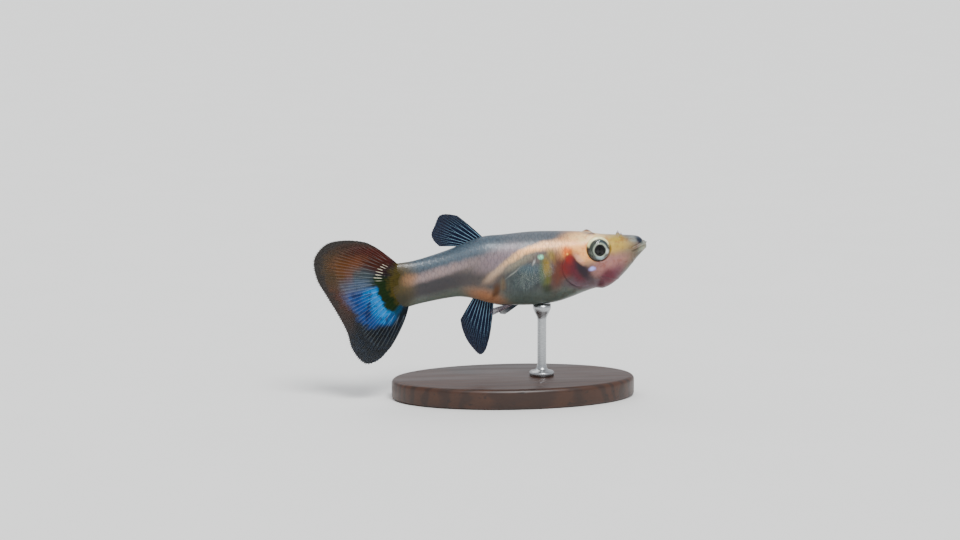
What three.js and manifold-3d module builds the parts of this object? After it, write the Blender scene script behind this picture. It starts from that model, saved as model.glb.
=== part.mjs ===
// A fancy guppy, a young female, life size, held nearly level on a plain display stand.
// Units are millimetres. The snout points along +X, the fish's left side is +Y, and +Z is up.
// The origin is on the underside of the stand, below the middle of the fish's whole length.
import * as THREE from "three";
import { mergeVertices } from "three/addons/utils/BufferGeometryUtils.js";
import Module from "manifold-3d";

const wasm = await Module();
wasm.setup();

// Driving dimensions
const STANDARD_LENGTH = 36.47; // jaw tip to the end of the tail stem
const BODY_DEPTH = 10.3; // back to belly, at the deepest
const JAW_TIP_X = 23.37;
const BELLY_LEVEL = 12.8; // lowest part of the belly above the floor
const GAP = 0.3; // kept between pieces that touch
const TAIL_SWAY = 1.3; // how far the end of the tail stem swings to the fish's right
const MEMBRANE = 0.5; // fin membrane, both faces together
const RAY_RISE = 0.17; // how far a fin ray stands above the membrane on each face

// Profiles of the body. Each row is a share of the standard length behind the jaw tip, then a value.
const BACK = [
  [0, 0.808], [0.0175, 0.856], [0.037, 0.901], [0.084, 0.918], [0.177, 0.936], [0.216, 0.959],
  [0.274, 0.98], [0.371, 0.994], [0.456, 0.992], [0.565, 0.961], [0.631, 0.945], [0.689, 0.888],
  [0.759, 0.789], [0.829, 0.705], [0.895, 0.641], [0.946, 0.616],
]; // heights above the belly level, as shares of the body depth
const BELLY = [
  [0, 0.747], [0.0136, 0.716], [0.037, 0.633], [0.084, 0.429], [0.13, 0.278], [0.169, 0.208],
  [0.2, 0.21], [0.247, 0.16], [0.293, 0.099], [0.352, 0.035], [0.433, 0.002], [0.518, 0.002],
  [0.573, 0.008], [0.619, 0.05], [0.666, 0.1], [0.724, 0.136], [0.783, 0.121], [0.852, 0.085],
  [0.899, 0.056], [0.946, 0.017],
]; // the same for the underside
const HALF_WIDTH = [
  [0, 0.15], [0.037, 0.158], [0.084, 0.2], [0.14, 0.245], [0.19, 0.278],
  [0.25, 0.3], [0.34, 0.312], [0.45, 0.314], [0.55, 0.288], [0.62, 0.25], [0.7, 0.203],
  [0.78, 0.163], [0.86, 0.126], [0.92, 0.098], [0.946, 0.084],
]; // shares of the body depth
// Height of the widest place, between the underside at 0 and the back at 1
const WAIST = [[0, 0.5], [0.06, 0.62], [0.18, 0.64], [0.3, 0.58], [0.5, 0.52], [1, 0.5]];
const BACK_FULLNESS = [[0, 2], [0.05, 2.5], [0.18, 2.7], [0.3, 2.3], [0.5, 2.05], [1, 1.9]];
const BELLY_FULLNESS = [[0, 2], [0.08, 1.8], [0.2, 1.75], [0.35, 2.05], [0.55, 2.1], [0.75, 1.9], [1, 1.9]];
const NOSE_ROUND = 0.036; // the snout rounds off over this share, seen from above
const NOSE_TIP = 0.2; // width left at the very tip, as a share of the width behind it
const LIP_FULLNESS = 0.2; // how far the lips stand out in front of the jaws
const STEM_END = 0.946; // where the tail stem starts to round off
const STEM_LEAN = 0.155; // slope of the stem's end, which faces down and back
const RINGS = 40;
const SIDES = 28;

// Curves and small sums
const clamp = (v, low, high) => Math.min(Math.max(v, low), high);
const mix = (a, b, t) => a + (b - a) * t;
const ease = (v, from, to) => {
  const t = clamp((v - from) / (to - from), 0, 1);
  return t * t * (3 - 2 * t);
};

// A smooth curve through [place, value] rows, level with its neighbours and flat outside them.
function curveThrough(rows) {
  const last = rows.length - 1;
  const slopes = rows.map((row, i) => {
    const before = rows[Math.max(i - 1, 0)];
    const after = rows[Math.min(i + 1, last)];
    return (after[1] - before[1]) / (after[0] - before[0]);
  });
  return (place) => {
    if (place <= rows[0][0]) return rows[0][1];
    if (place >= rows[last][0]) return rows[last][1];
    const i = rows.findIndex((row) => row[0] > place) - 1;
    const span = rows[i + 1][0] - rows[i][0];
    const t = (place - rows[i][0]) / span;
    const start = rows[i][1] * (1 + 2 * t) * (1 - t) ** 2 + slopes[i] * span * t * (1 - t) ** 2;
    const end = rows[i + 1][1] * t * t * (3 - 2 * t) - slopes[i + 1] * span * t * t * (1 - t);
    return start + end;
  };
}

const back = curveThrough(BACK);
const belly = curveThrough(BELLY);
const halfWidth = curveThrough(HALF_WIDTH);
const waist = curveThrough(WAIST);
const backFullness = curveThrough(BACK_FULLNESS);
const bellyFullness = curveThrough(BELLY_FULLNESS);

// Sideways place of the body's middle plane, at a share of the standard length.
// It goes on past 1 into the tail fin.
function sway(share) {
  const bend = clamp((share - 0.42) / 0.58, 0, 1);
  const follow = Math.max(share - 1, 0);
  return -TAIL_SWAY * (bend ** 2 + 3.2 * follow - 4.5 * follow ** 2);
}
const shareAt = (x) => (JAW_TIP_X - x) / STANDARD_LENGTH;
const swayAt = (x) => sway(shareAt(x));
const backAt = (x) => BELLY_LEVEL + BODY_DEPTH * back(shareAt(x));
const bellyAt = (x) => BELLY_LEVEL + BODY_DEPTH * belly(shareAt(x));

// The body's cross-section at a share of its length: half sizes, middle height and place.
function sectionAt(share) {
  const tip = clamp((share - STEM_END) / (1 - STEM_END), 0, 1);
  const shrink = Math.sqrt(1 - tip ** 2);
  const nose = 1 - clamp(share / NOSE_ROUND, 0, 1);
  const narrowing = Math.sqrt(1 - (1 - NOSE_TIP ** 2) * nose ** 2);
  const top = BELLY_LEVEL + BODY_DEPTH * back(share);
  const bottom = BELLY_LEVEL + BODY_DEPTH * belly(share);
  const middle = mix(bottom, top, waist(share));
  return {
    x: JAW_TIP_X - STANDARD_LENGTH * share - LIP_FULLNESS * nose ** 2,
    y: sway(share),
    z: middle,
    rise: (top - middle) * shrink,
    drop: (middle - bottom) * shrink,
    half: BODY_DEPTH * halfWidth(share) * narrowing * mix(1, shrink, 0.6),
    lean: STEM_LEAN * ease(share, 0.72, STEM_END),
    tip,
    backPower: 2 / backFullness(share),
    bellyPower: 2 / bellyFullness(share),
  };
}

// A point of the body's skin, at an angle round its section from the back, moved out by some offset.
function skinPoint(share, angle, offset) {
  const s = sectionAt(share);
  const c = Math.cos(angle);
  const power = c >= 0 ? s.backPower : s.bellyPower;
  const reach = c >= 0 ? s.rise : -s.drop;
  const closing = Math.sqrt(1 - s.tip ** 2);
  const up = Math.abs(c) ** power * (reach + Math.sign(c) * offset * closing);
  const out = Math.sign(Math.sin(angle)) * Math.abs(Math.sin(angle)) ** power * (s.half + offset);
  const ends = offset * (ease(share, STEM_END, 1) - 1 + ease(share, 0, 0.02));
  return new THREE.Vector3(s.x - s.lean * up - ends, s.y + out, s.z + up);
}

// Half the body's width at a place in the side view.
function flankAt(x, z) {
  const s = sectionAt(shareAt(x));
  const power = z >= s.z ? s.backPower : s.bellyPower;
  const part = clamp(Math.abs(z - s.z) / (z >= s.z ? s.rise : s.drop), 0, 1);
  return s.half * (1 - part ** (2 / power)) ** (power / 2);
}

// The height of the back at a place seen from above.
function roofAt(x, out) {
  const s = sectionAt(shareAt(x));
  return s.z + s.rise * (1 - (out / s.half) ** (2 / s.backPower)) ** (s.backPower / 2);
}

// Solids
function solidFrom(positions, triangles) {
  const vertProperties = new Float32Array(positions);
  const build = (faces) =>
    new wasm.Manifold(new wasm.Mesh({ numProp: 3, vertProperties, triVerts: new Uint32Array(faces) }));
  const made = build(triangles);
  if (made.volume() > 0) return made;
  const turned = [];
  for (let i = 0; i < triangles.length; i += 3) turned.push(triangles[i], triangles[i + 2], triangles[i + 1]);
  return build(turned);
}

function solidOf(geometry) {
  const bare = geometry.clone();
  bare.deleteAttribute("normal");
  bare.deleteAttribute("uv");
  const merged = mergeVertices(bare, 1e-5);
  return solidFrom(Array.from(merged.attributes.position.array), Array.from(merged.index.array));
}

const largestOf = (solid) =>
  solid.decompose().reduce((best, piece) => (piece.volume() > best.volume() ? piece : best));

function meshFrom(name, solid, material) {
  const shape = largestOf(solid).getMesh();
  const geometry = new THREE.BufferGeometry();
  geometry.setAttribute("position", new THREE.BufferAttribute(new Float32Array(shape.vertProperties), 3));
  geometry.setIndex(Array.from(shape.triVerts));
  geometry.computeVertexNormals();
  const mesh = new THREE.Mesh(geometry, material);
  mesh.name = name;
  return mesh;
}

function block(low, high) {
  const size = high.map((v, i) => v - low[i]);
  const geometry = new THREE.BoxGeometry(...size);
  geometry.translate(...high.map((v, i) => (v + low[i]) / 2));
  return solidOf(geometry);
}

// A round rod along a smooth line, with its radius at each share of the way.
function taperedTube(points, radiusAt, steps, sides) {
  const path = new THREE.CatmullRomCurve3(points);
  const frames = path.computeFrenetFrames(steps, false);
  const positions = [];
  const triangles = [];
  const put = (v) => positions.push(v.x, v.y, v.z) / 3 - 1;
  const rings = frames.normals.map((across, i) =>
    Array.from({ length: sides }, (_, k) => {
      const angle = (2 * Math.PI * k) / sides;
      const radius = radiusAt(i / steps);
      const point = path.getPointAt(i / steps).addScaledVector(across, radius * Math.cos(angle));
      return put(point.addScaledVector(frames.binormals[i], radius * Math.sin(angle)));
    }),
  );
  const ends = [put(path.getPointAt(0)), put(path.getPointAt(1))];
  for (let k = 0; k < sides; k++) {
    const next = (k + 1) % sides;
    for (let i = 0; i < steps; i++) {
      triangles.push(rings[i][k], rings[i][next], rings[i + 1][next]);
      triangles.push(rings[i][k], rings[i + 1][next], rings[i + 1][k]);
    }
    triangles.push(ends[0], rings[0][next], rings[0][k]);
    triangles.push(ends[1], rings[steps][k], rings[steps][next]);
  }
  return solidFrom(positions, triangles);
}

// A flat outline in the side view, made solid from one sideways place to another.
function sidePrism(shape, fromY, toY) {
  const depth = toY - fromY;
  const geometry = new THREE.ExtrudeGeometry(shape, { depth, bevelEnabled: false, curveSegments: 20 });
  geometry.rotateX(Math.PI / 2);
  geometry.translate(0, toY, 0);
  return solidOf(geometry);
}

// The whole body as one closed skin of rings, moved out by an offset.
function bodyShell(offset) {
  const positions = [];
  const triangles = [];
  const place = (v) => positions.push(v.x, v.y, v.z) / 3 - 1;
  const closerAtEnds = (t) => t - (0.8 * Math.sin(2 * Math.PI * t)) / (2 * Math.PI);
  const rings = [];
  for (let i = 0; i < RINGS; i++) {
    const share = closerAtEnds(i / RINGS);
    const angleAt = (k) => (2 * Math.PI * k) / SIDES;
    rings.push(Array.from({ length: SIDES }, (_, k) => place(skinPoint(share, angleAt(k), offset))));
  }
  for (let i = 0; i + 1 < RINGS; i++) {
    for (let k = 0; k < SIDES; k++) {
      const next = (k + 1) % SIDES;
      triangles.push(rings[i][k], rings[i][next], rings[i + 1][k]);
      triangles.push(rings[i][next], rings[i + 1][next], rings[i + 1][k]);
    }
  }
  const jaw = sectionAt(0);
  const front = place(new THREE.Vector3(jaw.x + offset, jaw.y, jaw.z));
  const rear = place(skinPoint(1, 0, offset));
  for (let k = 0; k < SIDES; k++) {
    const next = (k + 1) % SIDES;
    triangles.push(front, rings[0][next], rings[0][k]);
    triangles.push(rear, rings[RINGS - 1][k], rings[RINGS - 1][next]);
  }
  return solidFrom(positions, triangles);
}

const body = bodyShell(0);
const bodyWithGap = bodyShell(GAP);

// Materials
const material = (color, roughness, metalness = 0) =>
  new THREE.MeshStandardMaterial({ color, roughness, metalness });
const flesh = material(0xb9aca0, 0.4);
const cheek = material(0xc98f7c, 0.4);
const iris = material(0x9fb0a2, 0.2);
const tailFin = material(0x8a5a2c, 0.45);
const darkFin = material(0x1d3d5c, 0.45);
const clearFin = material(0xb8bdb8, 0.4);
const wood = material(0x3b2618, 0.5);
const steel = material(0xc0c2c4, 0.3, 1);

const fish = new THREE.Group();

// Cuts between head, trunk and tail stem, seen from the side
const NECK_X = 11.75;
const STEM_X = -3.35;
const FAR = 40;
const behind = (x) => block([-FAR, -FAR, -FAR], [x, FAR, FAR]);
const ahead = (x) => block([x, -FAR, -FAR], [FAR, FAR, FAR]);

let head = body.intersect(ahead(NECK_X + GAP / 2));
let trunk = body.intersect(behind(NECK_X - GAP / 2)).intersect(ahead(STEM_X + GAP / 2));
const tailStem = body.intersect(behind(STEM_X - GAP / 2));

// Mouth: a cleft that runs down and back from the front, then behind the jaw to the throat
const MOUTH = { front: [24.5, 21.4], lip: [22.5, 21.2], corner: [20.8, 20.5], throat: [19.4, 14.6] };
const ACROSS = 6; // past the flanks on both sides
function cleft() {
  const { front, lip, corner, throat } = MOUTH;
  const shape = new THREE.Shape();
  shape.moveTo(front[0], front[1] + GAP / 2);
  shape.lineTo(lip[0], lip[1] + GAP / 2);
  shape.lineTo(corner[0] - GAP / 2, corner[1] + GAP / 2);
  shape.lineTo(throat[0] - GAP / 2, throat[1]);
  shape.lineTo(throat[0] + GAP / 2, throat[1]);
  shape.lineTo(corner[0] + GAP / 2, corner[1] - GAP / 2);
  shape.lineTo(lip[0], lip[1] - GAP / 2);
  shape.lineTo(front[0], front[1] - GAP / 2);
  return sidePrism(shape, -ACROSS, ACROSS);
}
function jawSide() {
  const { front, lip, corner, throat } = MOUTH;
  const shape = new THREE.Shape();
  shape.moveTo(...front);
  shape.lineTo(...lip);
  shape.lineTo(...corner);
  shape.lineTo(...throat);
  shape.lineTo(FAR, throat[1]);
  return sidePrism(shape, -ACROSS, ACROSS);
}

// Lips: a rounded edge round each jaw, thin at the corners of the mouth and full in front
const LIP = { thick: 0.32, corner: 0.14, upperReach: 22.42, lowerReach: 23.03, rows: 6 };
function lipSolid(reach, shift) {
  const { lip, corner } = MOUTH;
  const side = flankAt(corner[0], corner[1]) - LIP.corner;
  const points = Array.from({ length: 2 * LIP.rows + 1 }, (_, i) => {
    const turn = (Math.PI / 2) * (i / LIP.rows - 1);
    const x = mix(corner[0], reach, Math.cos(turn));
    const forward = clamp((x - corner[0]) / (lip[0] - corner[0]), 0, 1);
    return new THREE.Vector3(x, side * Math.sin(turn), mix(corner[1], lip[1], forward) + shift);
  });
  const radiusAt = (share) => mix(LIP.corner, LIP.thick, Math.sin(Math.PI * share) ** 0.7);
  return taperedTube(points, radiusAt, 20, 10);
}

// Nostrils: a small pit with a raised rim, on each side of the snout
const NOSTRIL = { x: 19.3, out: 1.2, pit: 0.2, rim: 0.34, rimThick: 0.13 };
function nostrilPart(geometry, side, lift) {
  const up = new THREE.Vector3(0.1, 0.45 * side, 1).normalize();
  geometry.applyQuaternion(new THREE.Quaternion().setFromUnitVectors(new THREE.Vector3(0, 0, 1), up));
  geometry.translate(NOSTRIL.x, side * NOSTRIL.out, roofAt(NOSTRIL.x, NOSTRIL.out) + lift);
  return solidOf(geometry);
}
const nostrilRim = (side) =>
  nostrilPart(new THREE.TorusGeometry(NOSTRIL.rim, NOSTRIL.rimThick, 6, 12), side, 0);
const nostrilPit = (side) =>
  nostrilPart(new THREE.SphereGeometry(NOSTRIL.pit, 8, 6).scale(1, 1, 2.2), side, 0.1);

const mouthCut = cleft();
const jawSpace = jawSide();
const lowerJaw = head.intersect(jawSpace).add(lipSolid(LIP.lowerReach, -LIP.thick)).subtract(mouthCut);
head = head.subtract(jawSpace).add(lipSolid(LIP.upperReach, LIP.thick)).subtract(mouthCut);
head = head.add(nostrilRim(-1)).add(nostrilRim(1));
head = head.subtract(nostrilPit(-1)).subtract(nostrilPit(1));

// Gill covers: a raised plate on each side, let into the head and the front of the trunk
const GILL = { x: 12.35, z: 18.3, halfLength: 1.65, halfHeight: 2.95, tilt: 0.42 };
const PLATE = { rise: 0.12, depth: 0.75, inner: 1.2 };
function gillOutline(extra) {
  const shape = new THREE.Shape();
  const { x, z, halfLength, halfHeight, tilt } = GILL;
  shape.absellipse(x, z, halfLength + extra, halfHeight + extra, 0, 2 * Math.PI, false, tilt);
  return shape;
}
const raisedSkin = bodyShell(PLATE.rise);
const insideOfPlate = bodyShell(-PLATE.depth);
const insideOfPocket = bodyShell(-PLATE.depth - GAP);
const gillCovers = {};
for (const [name, side] of [["right", -1], ["left", 1]]) {
  const outward = (outline, inner) => {
    const [fromY, toY] = [side * inner, side * ACROSS].sort((a, b) => a - b);
    return sidePrism(outline, fromY, toY);
  };
  gillCovers[name] = raisedSkin.intersect(outward(gillOutline(0), PLATE.inner)).subtract(insideOfPlate);
  const pocket = outward(gillOutline(GAP), PLATE.inner - GAP).subtract(insideOfPocket);
  head = head.subtract(pocket);
  trunk = trunk.subtract(pocket);
}

// Eyes: flattened balls with a domed pupil, each in a socket of nearly the same form
const EYE = { x: 15.9, y: 2.42, z: 20.7, radius: 1.7, bulge: 0.95, forward: 0.1, upward: 0.1 };
const EYE_FRONT = [[1.58, 0.36], [1.26, 0.58], [0.92, 0.72], [0.8, 0.86], [0.5, 1], [0, 1.06]];
function turnedAsEye(profile, side) {
  const geometry = new THREE.LatheGeometry(profile.map(([r, h]) => new THREE.Vector2(r, h)), 20);
  const outward = new THREE.Vector3(EYE.forward, side, EYE.upward).normalize();
  geometry.applyQuaternion(new THREE.Quaternion().setFromUnitVectors(new THREE.Vector3(0, 1, 0), outward));
  geometry.translate(EYE.x, side * EYE.y, EYE.z);
  return solidOf(geometry);
}
function eyeSolid(side) {
  const steps = 6;
  const backHalf = Array.from({ length: steps }, (_, i) => {
    const angle = (Math.PI / 2) * (i / steps);
    return [EYE.radius * Math.sin(angle), -EYE.bulge * Math.cos(angle)];
  });
  return turnedAsEye([...backHalf, [EYE.radius, 0], ...EYE_FRONT], side);
}
function socketSpace(side) {
  const wide = EYE.radius + GAP;
  const deep = -EYE.bulge - GAP;
  const open = 3;
  return turnedAsEye([[0, deep], [wide, deep], [wide, open], [0, open]], side);
}
const eyes = { right: eyeSolid(-1), left: eyeSolid(1) };
head = head.subtract(socketSpace(-1)).subtract(socketSpace(1));

// Fins: fans of rays. A fan's root, tip and bow are places at a share of the way across it.
const RAY_STEPS = 8;
function finSolid(fan, { rays, raySteps = RAY_STEPS, rise = RAY_RISE, sink = 0.9 }) {
  const columns = [];
  for (let ray = 0; ray < rays; ray++) {
    const middle = (ray + 0.5) / rays;
    const foot = 0.2 / rays;
    columns.push([middle - 0.5 / rays, 0], [middle - foot, 0], [middle, 1], [middle + foot, 0]);
  }
  columns.push([1, 0]);
  const place = (across, along) => {
    const root = fan.root(across);
    const tip = fan.tip(across);
    const bow = fan.bow(across);
    const inward = root.clone().sub(tip).setLength(sink);
    const start = root.clone().add(inward);
    const middle = start.clone().add(tip).multiplyScalar(0.5).add(bow);
    const point = start.multiplyScalar((1 - along) ** 2);
    point.addScaledVector(middle, 2 * along * (1 - along)).addScaledVector(tip, along ** 2);
    return point.addScaledVector(fan.side, fan.billow(across, along));
  };
  const nudge = 1e-3;
  const normalAt = (across, along) => {
    const a = clamp(across, nudge, 1 - nudge);
    const b = clamp(along, nudge, 1 - nudge);
    const acrossWay = place(a + nudge, b).sub(place(a - nudge, b));
    const alongWay = place(a, b + nudge).sub(place(a, b - nudge));
    return acrossWay.cross(alongWay).normalize();
  };
  const positions = [];
  const put = (v) => positions.push(v.x, v.y, v.z) / 3 - 1;
  const faces = [1, -1].map((way) =>
    columns.map(([across, crest]) =>
      Array.from({ length: raySteps + 1 }, (_, j) => {
        const along = j / raySteps;
        const fade = 1 - ease(along, 0.7, 1);
        const nudged = place(across + nudge, along).distanceTo(place(across - nudge, along));
        const pitch = nudged / (2 * nudge * rays);
        const ridge = Math.min(rise, 0.4 * pitch) * crest;
        const half = (MEMBRANE / 2) * mix(0.8, 1, fade) + ridge * mix(0.3, 1, fade);
        return put(place(across, along).addScaledVector(normalAt(across, along), way * half));
      }),
    ),
  );
  const triangles = [];
  const quad = (a, b, c, d) => triangles.push(a, b, c, a, c, d);
  for (let i = 0; i + 1 < columns.length; i++) {
    for (let j = 0; j < raySteps; j++) {
      const [near, far] = faces.map((f) => [f[i][j], f[i + 1][j], f[i + 1][j + 1], f[i][j + 1]]);
      triangles.push(near[0], near[1], near[2], near[0], near[2], near[3]);
      triangles.push(far[0], far[2], far[1], far[0], far[3], far[2]);
    }
    quad(faces[0][i][0], faces[1][i][0], faces[1][i + 1][0], faces[0][i + 1][0]);
    quad(faces[0][i + 1][raySteps], faces[1][i + 1][raySteps], faces[1][i][raySteps], faces[0][i][raySteps]);
  }
  const end = columns.length - 1;
  for (let j = 0; j < raySteps; j++) {
    quad(faces[0][0][j + 1], faces[1][0][j + 1], faces[1][0][j], faces[0][0][j]);
    quad(faces[0][end][j], faces[1][end][j], faces[1][end][j + 1], faces[0][end][j + 1]);
  }
  return solidFrom(positions, triangles).subtract(bodyWithGap);
}

// A smooth line in the side view through [share across, x, z] rows.
function lineThrough(rows) {
  const x = curveThrough(rows.map((row) => [row[0], row[1]]));
  const z = curveThrough(rows.map((row) => [row[0], row[2]]));
  return (across) => [x(across), z(across)];
}

// A fin that stands in the fish's middle plane.
function middleFan({ roots, tips, bows, wave }) {
  const rootLine = lineThrough(roots);
  const tipLine = lineThrough(tips);
  const bowLine = lineThrough(bows);
  const inPlane = ([x, z]) => new THREE.Vector3(x, swayAt(x), z);
  return {
    root: (across) => inPlane(rootLine(across)),
    tip: (across) => inPlane(tipLine(across)),
    bow: (across) => new THREE.Vector3(bowLine(across)[0], 0, bowLine(across)[1]),
    side: new THREE.Vector3(0, 1, 0),
    billow: wave,
  };
}

const dorsalFan = middleFan({
  roots: [[0, 0.16, 22.3], [1, -2.85, 21.2]],
  tips: [
    [0, -3.44, 25.47], [0.15, -4.94, 25.7], [0.3, -5.94, 25.44], [0.5, -6.55, 24.17], [0.7, -7.05, 23],
    [0.85, -6.75, 22.1], [1, -5.95, 21.29],
  ],
  bows: [[0, 0.1, 0.2], [0.5, 0, 0], [1, 0, 0]],
  wave: (across, along) => 0.35 * along ** 2 * Math.sin(3 * across + 0.6),
});
const analFan = middleFan({
  roots: [[0, 1.58, 13.01], [1, -1.24, 13.89]],
  tips: [
    [0, 1.02, 8.42], [0.15, 0.47, 6.63], [0.3, -0.29, 6.05], [0.5, -1.3, 6.99], [0.7, -2.15, 8.23],
    [0.85, -2.71, 9.65], [1, -2.96, 10.95],
  ],
  bows: [[0, 0.3, 0], [0.5, 0, 0], [1, -0.1, 0]],
  wave: (across, along) => -0.4 * along ** 2 * Math.cos(2.5 * across),
});
const caudalFan = middleFan({
  roots: [
    [0, -11.97, 19.12], [0.25, -12.87, 17.88], [0.5, -13.18, 16.41], [0.75, -12.39, 14.4], [1, -10.55, 13],
  ],
  tips: [
    [0, -14.9, 21.5], [0.04, -16.4, 22.2], [0.1, -19.08, 22.51], [0.2, -21.73, 21.99], [0.3, -23.36, 19.97],
    [0.4, -23.04, 17.32], [0.5, -21.79, 15.03], [0.6, -20.24, 12.42], [0.7, -18.97, 9.91],
    [0.8, -18.2, 7.4], [0.9, -16.43, 5.45], [0.95, -14.6, 5.85], [1, -12.8, 7.6],
  ],
  bows: [[0, -0.1, 0.35], [0.3, 0, 0.1], [0.7, 0, 0], [1, 1, 0.3]],
  wave: (across, along) => 0.45 * along ** 2 * Math.sin(5 * across + 0.5),
});
const dorsalFin = finSolid(dorsalFan, { rays: 8, raySteps: 7 });
const analFin = finSolid(analFan, { rays: 8, raySteps: 7 });
const caudalFin = finSolid(caudalFan, { rays: 18, raySteps: 9, sink: 0.7 });

// A paired fin. Its rows give the side view and how far out from the middle plane each place is.
function pairedFan(side, { roots, tips, bow }) {
  const rootLine = lineThrough(roots);
  const tipLine = lineThrough(tips);
  const rootOut = curveThrough(roots.map((row) => [row[0], row[3]]));
  const tipOut = curveThrough(tips.map((row) => [row[0], row[3]]));
  const placed = ([x, z], out) => new THREE.Vector3(x, swayAt(x) + side * out, z);
  return {
    root: (across) => placed(rootLine(across), rootOut(across)),
    tip: (across) => placed(tipLine(across), tipOut(across)),
    bow: () => new THREE.Vector3(0, side * bow, 0),
    side: new THREE.Vector3(0, side, 0),
    billow: () => 0,
  };
}

const PECTORAL_ROOT_X = 9.7;
const pectoralOut = flankAt(PECTORAL_ROOT_X, 18.1);
const pectoral = {
  roots: [[0, PECTORAL_ROOT_X, 18.8, pectoralOut], [1, PECTORAL_ROOT_X - 0.2, 17.5, pectoralOut]],
  tips: [
    [0, 5.45, 19.3, pectoralOut + 1.7], [0.25, 4, 18.6, pectoralOut + 2.2],
    [0.5, 3.5, 17.4, pectoralOut + 2.3], [0.75, 4, 16.3, pectoralOut + 2],
    [1, 5.45, 15.5, pectoralOut + 1.5],
  ],
  bow: 0.25,
};
const pelvic = {
  right: {
    roots: [[0, 4.7, 13.2, 0.6], [1, 4.05, 13.25, 0.9]],
    tips: [[0, 1.55, 11.65, 0.8], [0.5, 0.9, 11.9, 1.2], [1, 0.95, 12.55, 1.5]],
    bow: 0.05,
  },
  left: {
    roots: [[0, 5.7, 13, 0.6], [1, 5.05, 13, 0.9]],
    tips: [[0, 3.45, 11.4, 0.9], [0.5, 2.8, 11.45, 1.3], [1, 2.65, 11.95, 1.6]],
    bow: 0.05,
  },
};
const pairedFins = {};
for (const [name, side] of [["right", -1], ["left", 1]]) {
  const pectoralFan = pairedFan(side, pectoral);
  const pelvicFan = pairedFan(side, pelvic[name]);
  pairedFins[`pectoral_fin_${name}`] = finSolid(pectoralFan, { rays: 9, raySteps: 6, sink: 0.8 });
  pairedFins[`pelvic_fin_${name}`] = finSolid(pelvicFan, { rays: 5, raySteps: 4, sink: 0.6 });
}

// Stand: a flat oval base, and one rod with a foot and a cup under the belly
const BASE = { x: 4.5, halfLength: 17, halfWidth: 10.5, thickness: 2.8, bevel: 0.5 };
const ROD = { x: 8.5, radius: 0.65, foot: 1.7, cup: 1.25 };
function standBase() {
  const shape = new THREE.Shape();
  shape.absellipse(0, 0, BASE.halfLength - BASE.bevel, BASE.halfWidth - BASE.bevel, 0, 2 * Math.PI);
  const geometry = new THREE.ExtrudeGeometry(shape, {
    depth: BASE.thickness - 2 * BASE.bevel,
    bevelThickness: BASE.bevel,
    bevelSize: BASE.bevel,
    bevelSegments: 2,
    curveSegments: 22,
  });
  geometry.translate(BASE.x, 0, BASE.bevel);
  return solidOf(geometry);
}
function standRod() {
  const low = BASE.thickness + GAP;
  const high = bellyAt(ROD.x) + 0.4;
  const profile = [
    [0, low], [ROD.foot, low], [ROD.foot, low + 0.5], [ROD.radius + 0.15, low + 0.8], [ROD.radius, low + 1.2],
    [ROD.radius, high - 1.9], [ROD.cup, high - 0.9], [ROD.cup, high], [0, high],
  ];
  const geometry = new THREE.LatheGeometry(profile.map(([r, h]) => new THREE.Vector2(r, h)), 20);
  geometry.rotateX(Math.PI / 2);
  geometry.translate(ROD.x, 0, 0);
  return solidOf(geometry).subtract(bodyWithGap);
}

fish.add(meshFrom("head", head, flesh));
fish.add(meshFrom("lower_jaw", lowerJaw, flesh));
fish.add(meshFrom("trunk", trunk, flesh));
fish.add(meshFrom("tail_stem", tailStem, flesh));
for (const side of ["right", "left"]) {
  fish.add(meshFrom(`gill_cover_${side}`, gillCovers[side], cheek));
  fish.add(meshFrom(`eye_${side}`, eyes[side], iris));
}
fish.add(meshFrom("dorsal_fin", dorsalFin, darkFin));
fish.add(meshFrom("anal_fin", analFin, darkFin));
fish.add(meshFrom("caudal_fin", caudalFin, tailFin));
for (const [name, solid] of Object.entries(pairedFins)) fish.add(meshFrom(name, solid, clearFin));
fish.add(meshFrom("stand_base", standBase(), wood));
fish.add(meshFrom("stand_rod", standRod(), steel));

export default fish;
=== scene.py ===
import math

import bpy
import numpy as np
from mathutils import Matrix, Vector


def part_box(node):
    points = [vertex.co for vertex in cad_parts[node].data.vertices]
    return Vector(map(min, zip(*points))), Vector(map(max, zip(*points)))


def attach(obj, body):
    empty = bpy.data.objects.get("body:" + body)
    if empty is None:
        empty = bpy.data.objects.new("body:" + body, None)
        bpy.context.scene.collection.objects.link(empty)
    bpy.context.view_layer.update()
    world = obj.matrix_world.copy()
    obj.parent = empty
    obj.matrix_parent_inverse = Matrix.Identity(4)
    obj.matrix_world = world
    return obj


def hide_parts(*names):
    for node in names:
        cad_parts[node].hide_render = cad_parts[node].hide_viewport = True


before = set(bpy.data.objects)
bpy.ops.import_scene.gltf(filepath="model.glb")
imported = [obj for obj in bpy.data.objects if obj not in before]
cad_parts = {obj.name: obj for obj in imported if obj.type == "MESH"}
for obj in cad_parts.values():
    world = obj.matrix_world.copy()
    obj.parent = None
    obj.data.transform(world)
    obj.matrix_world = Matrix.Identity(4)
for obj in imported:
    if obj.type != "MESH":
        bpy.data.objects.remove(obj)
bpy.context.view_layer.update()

# A young female fancy guppy, life size, held on a plain display stand.
# Shapes are worked out in millimetres, as a model maker would note them, and become metres in make_mesh().
# The snout points along +X, the fish's left side is +Y, and +Z is up.

MM = 0.001

# Sizes of the fish
STANDARD_LENGTH = 36.47  # jaw tip to the end of the tail stem
BODY_DEPTH = 10.3
JAW_TIP_X = 23.37
BELLY_LEVEL = 12.8
TAIL_SWAY = 1.3
BEND_FROM = 0.42  # share of the length where the sway sets in
BEND_ON = 3.2  # how fast it goes on in the tail fin
BEND_EASE = 4.5
STEM_END = 0.946
STEM_LEAN = 0.155
NOSE_ROUND = 0.036
NOSE_TIP = 0.2
LIP_FULLNESS = 0.2

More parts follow.
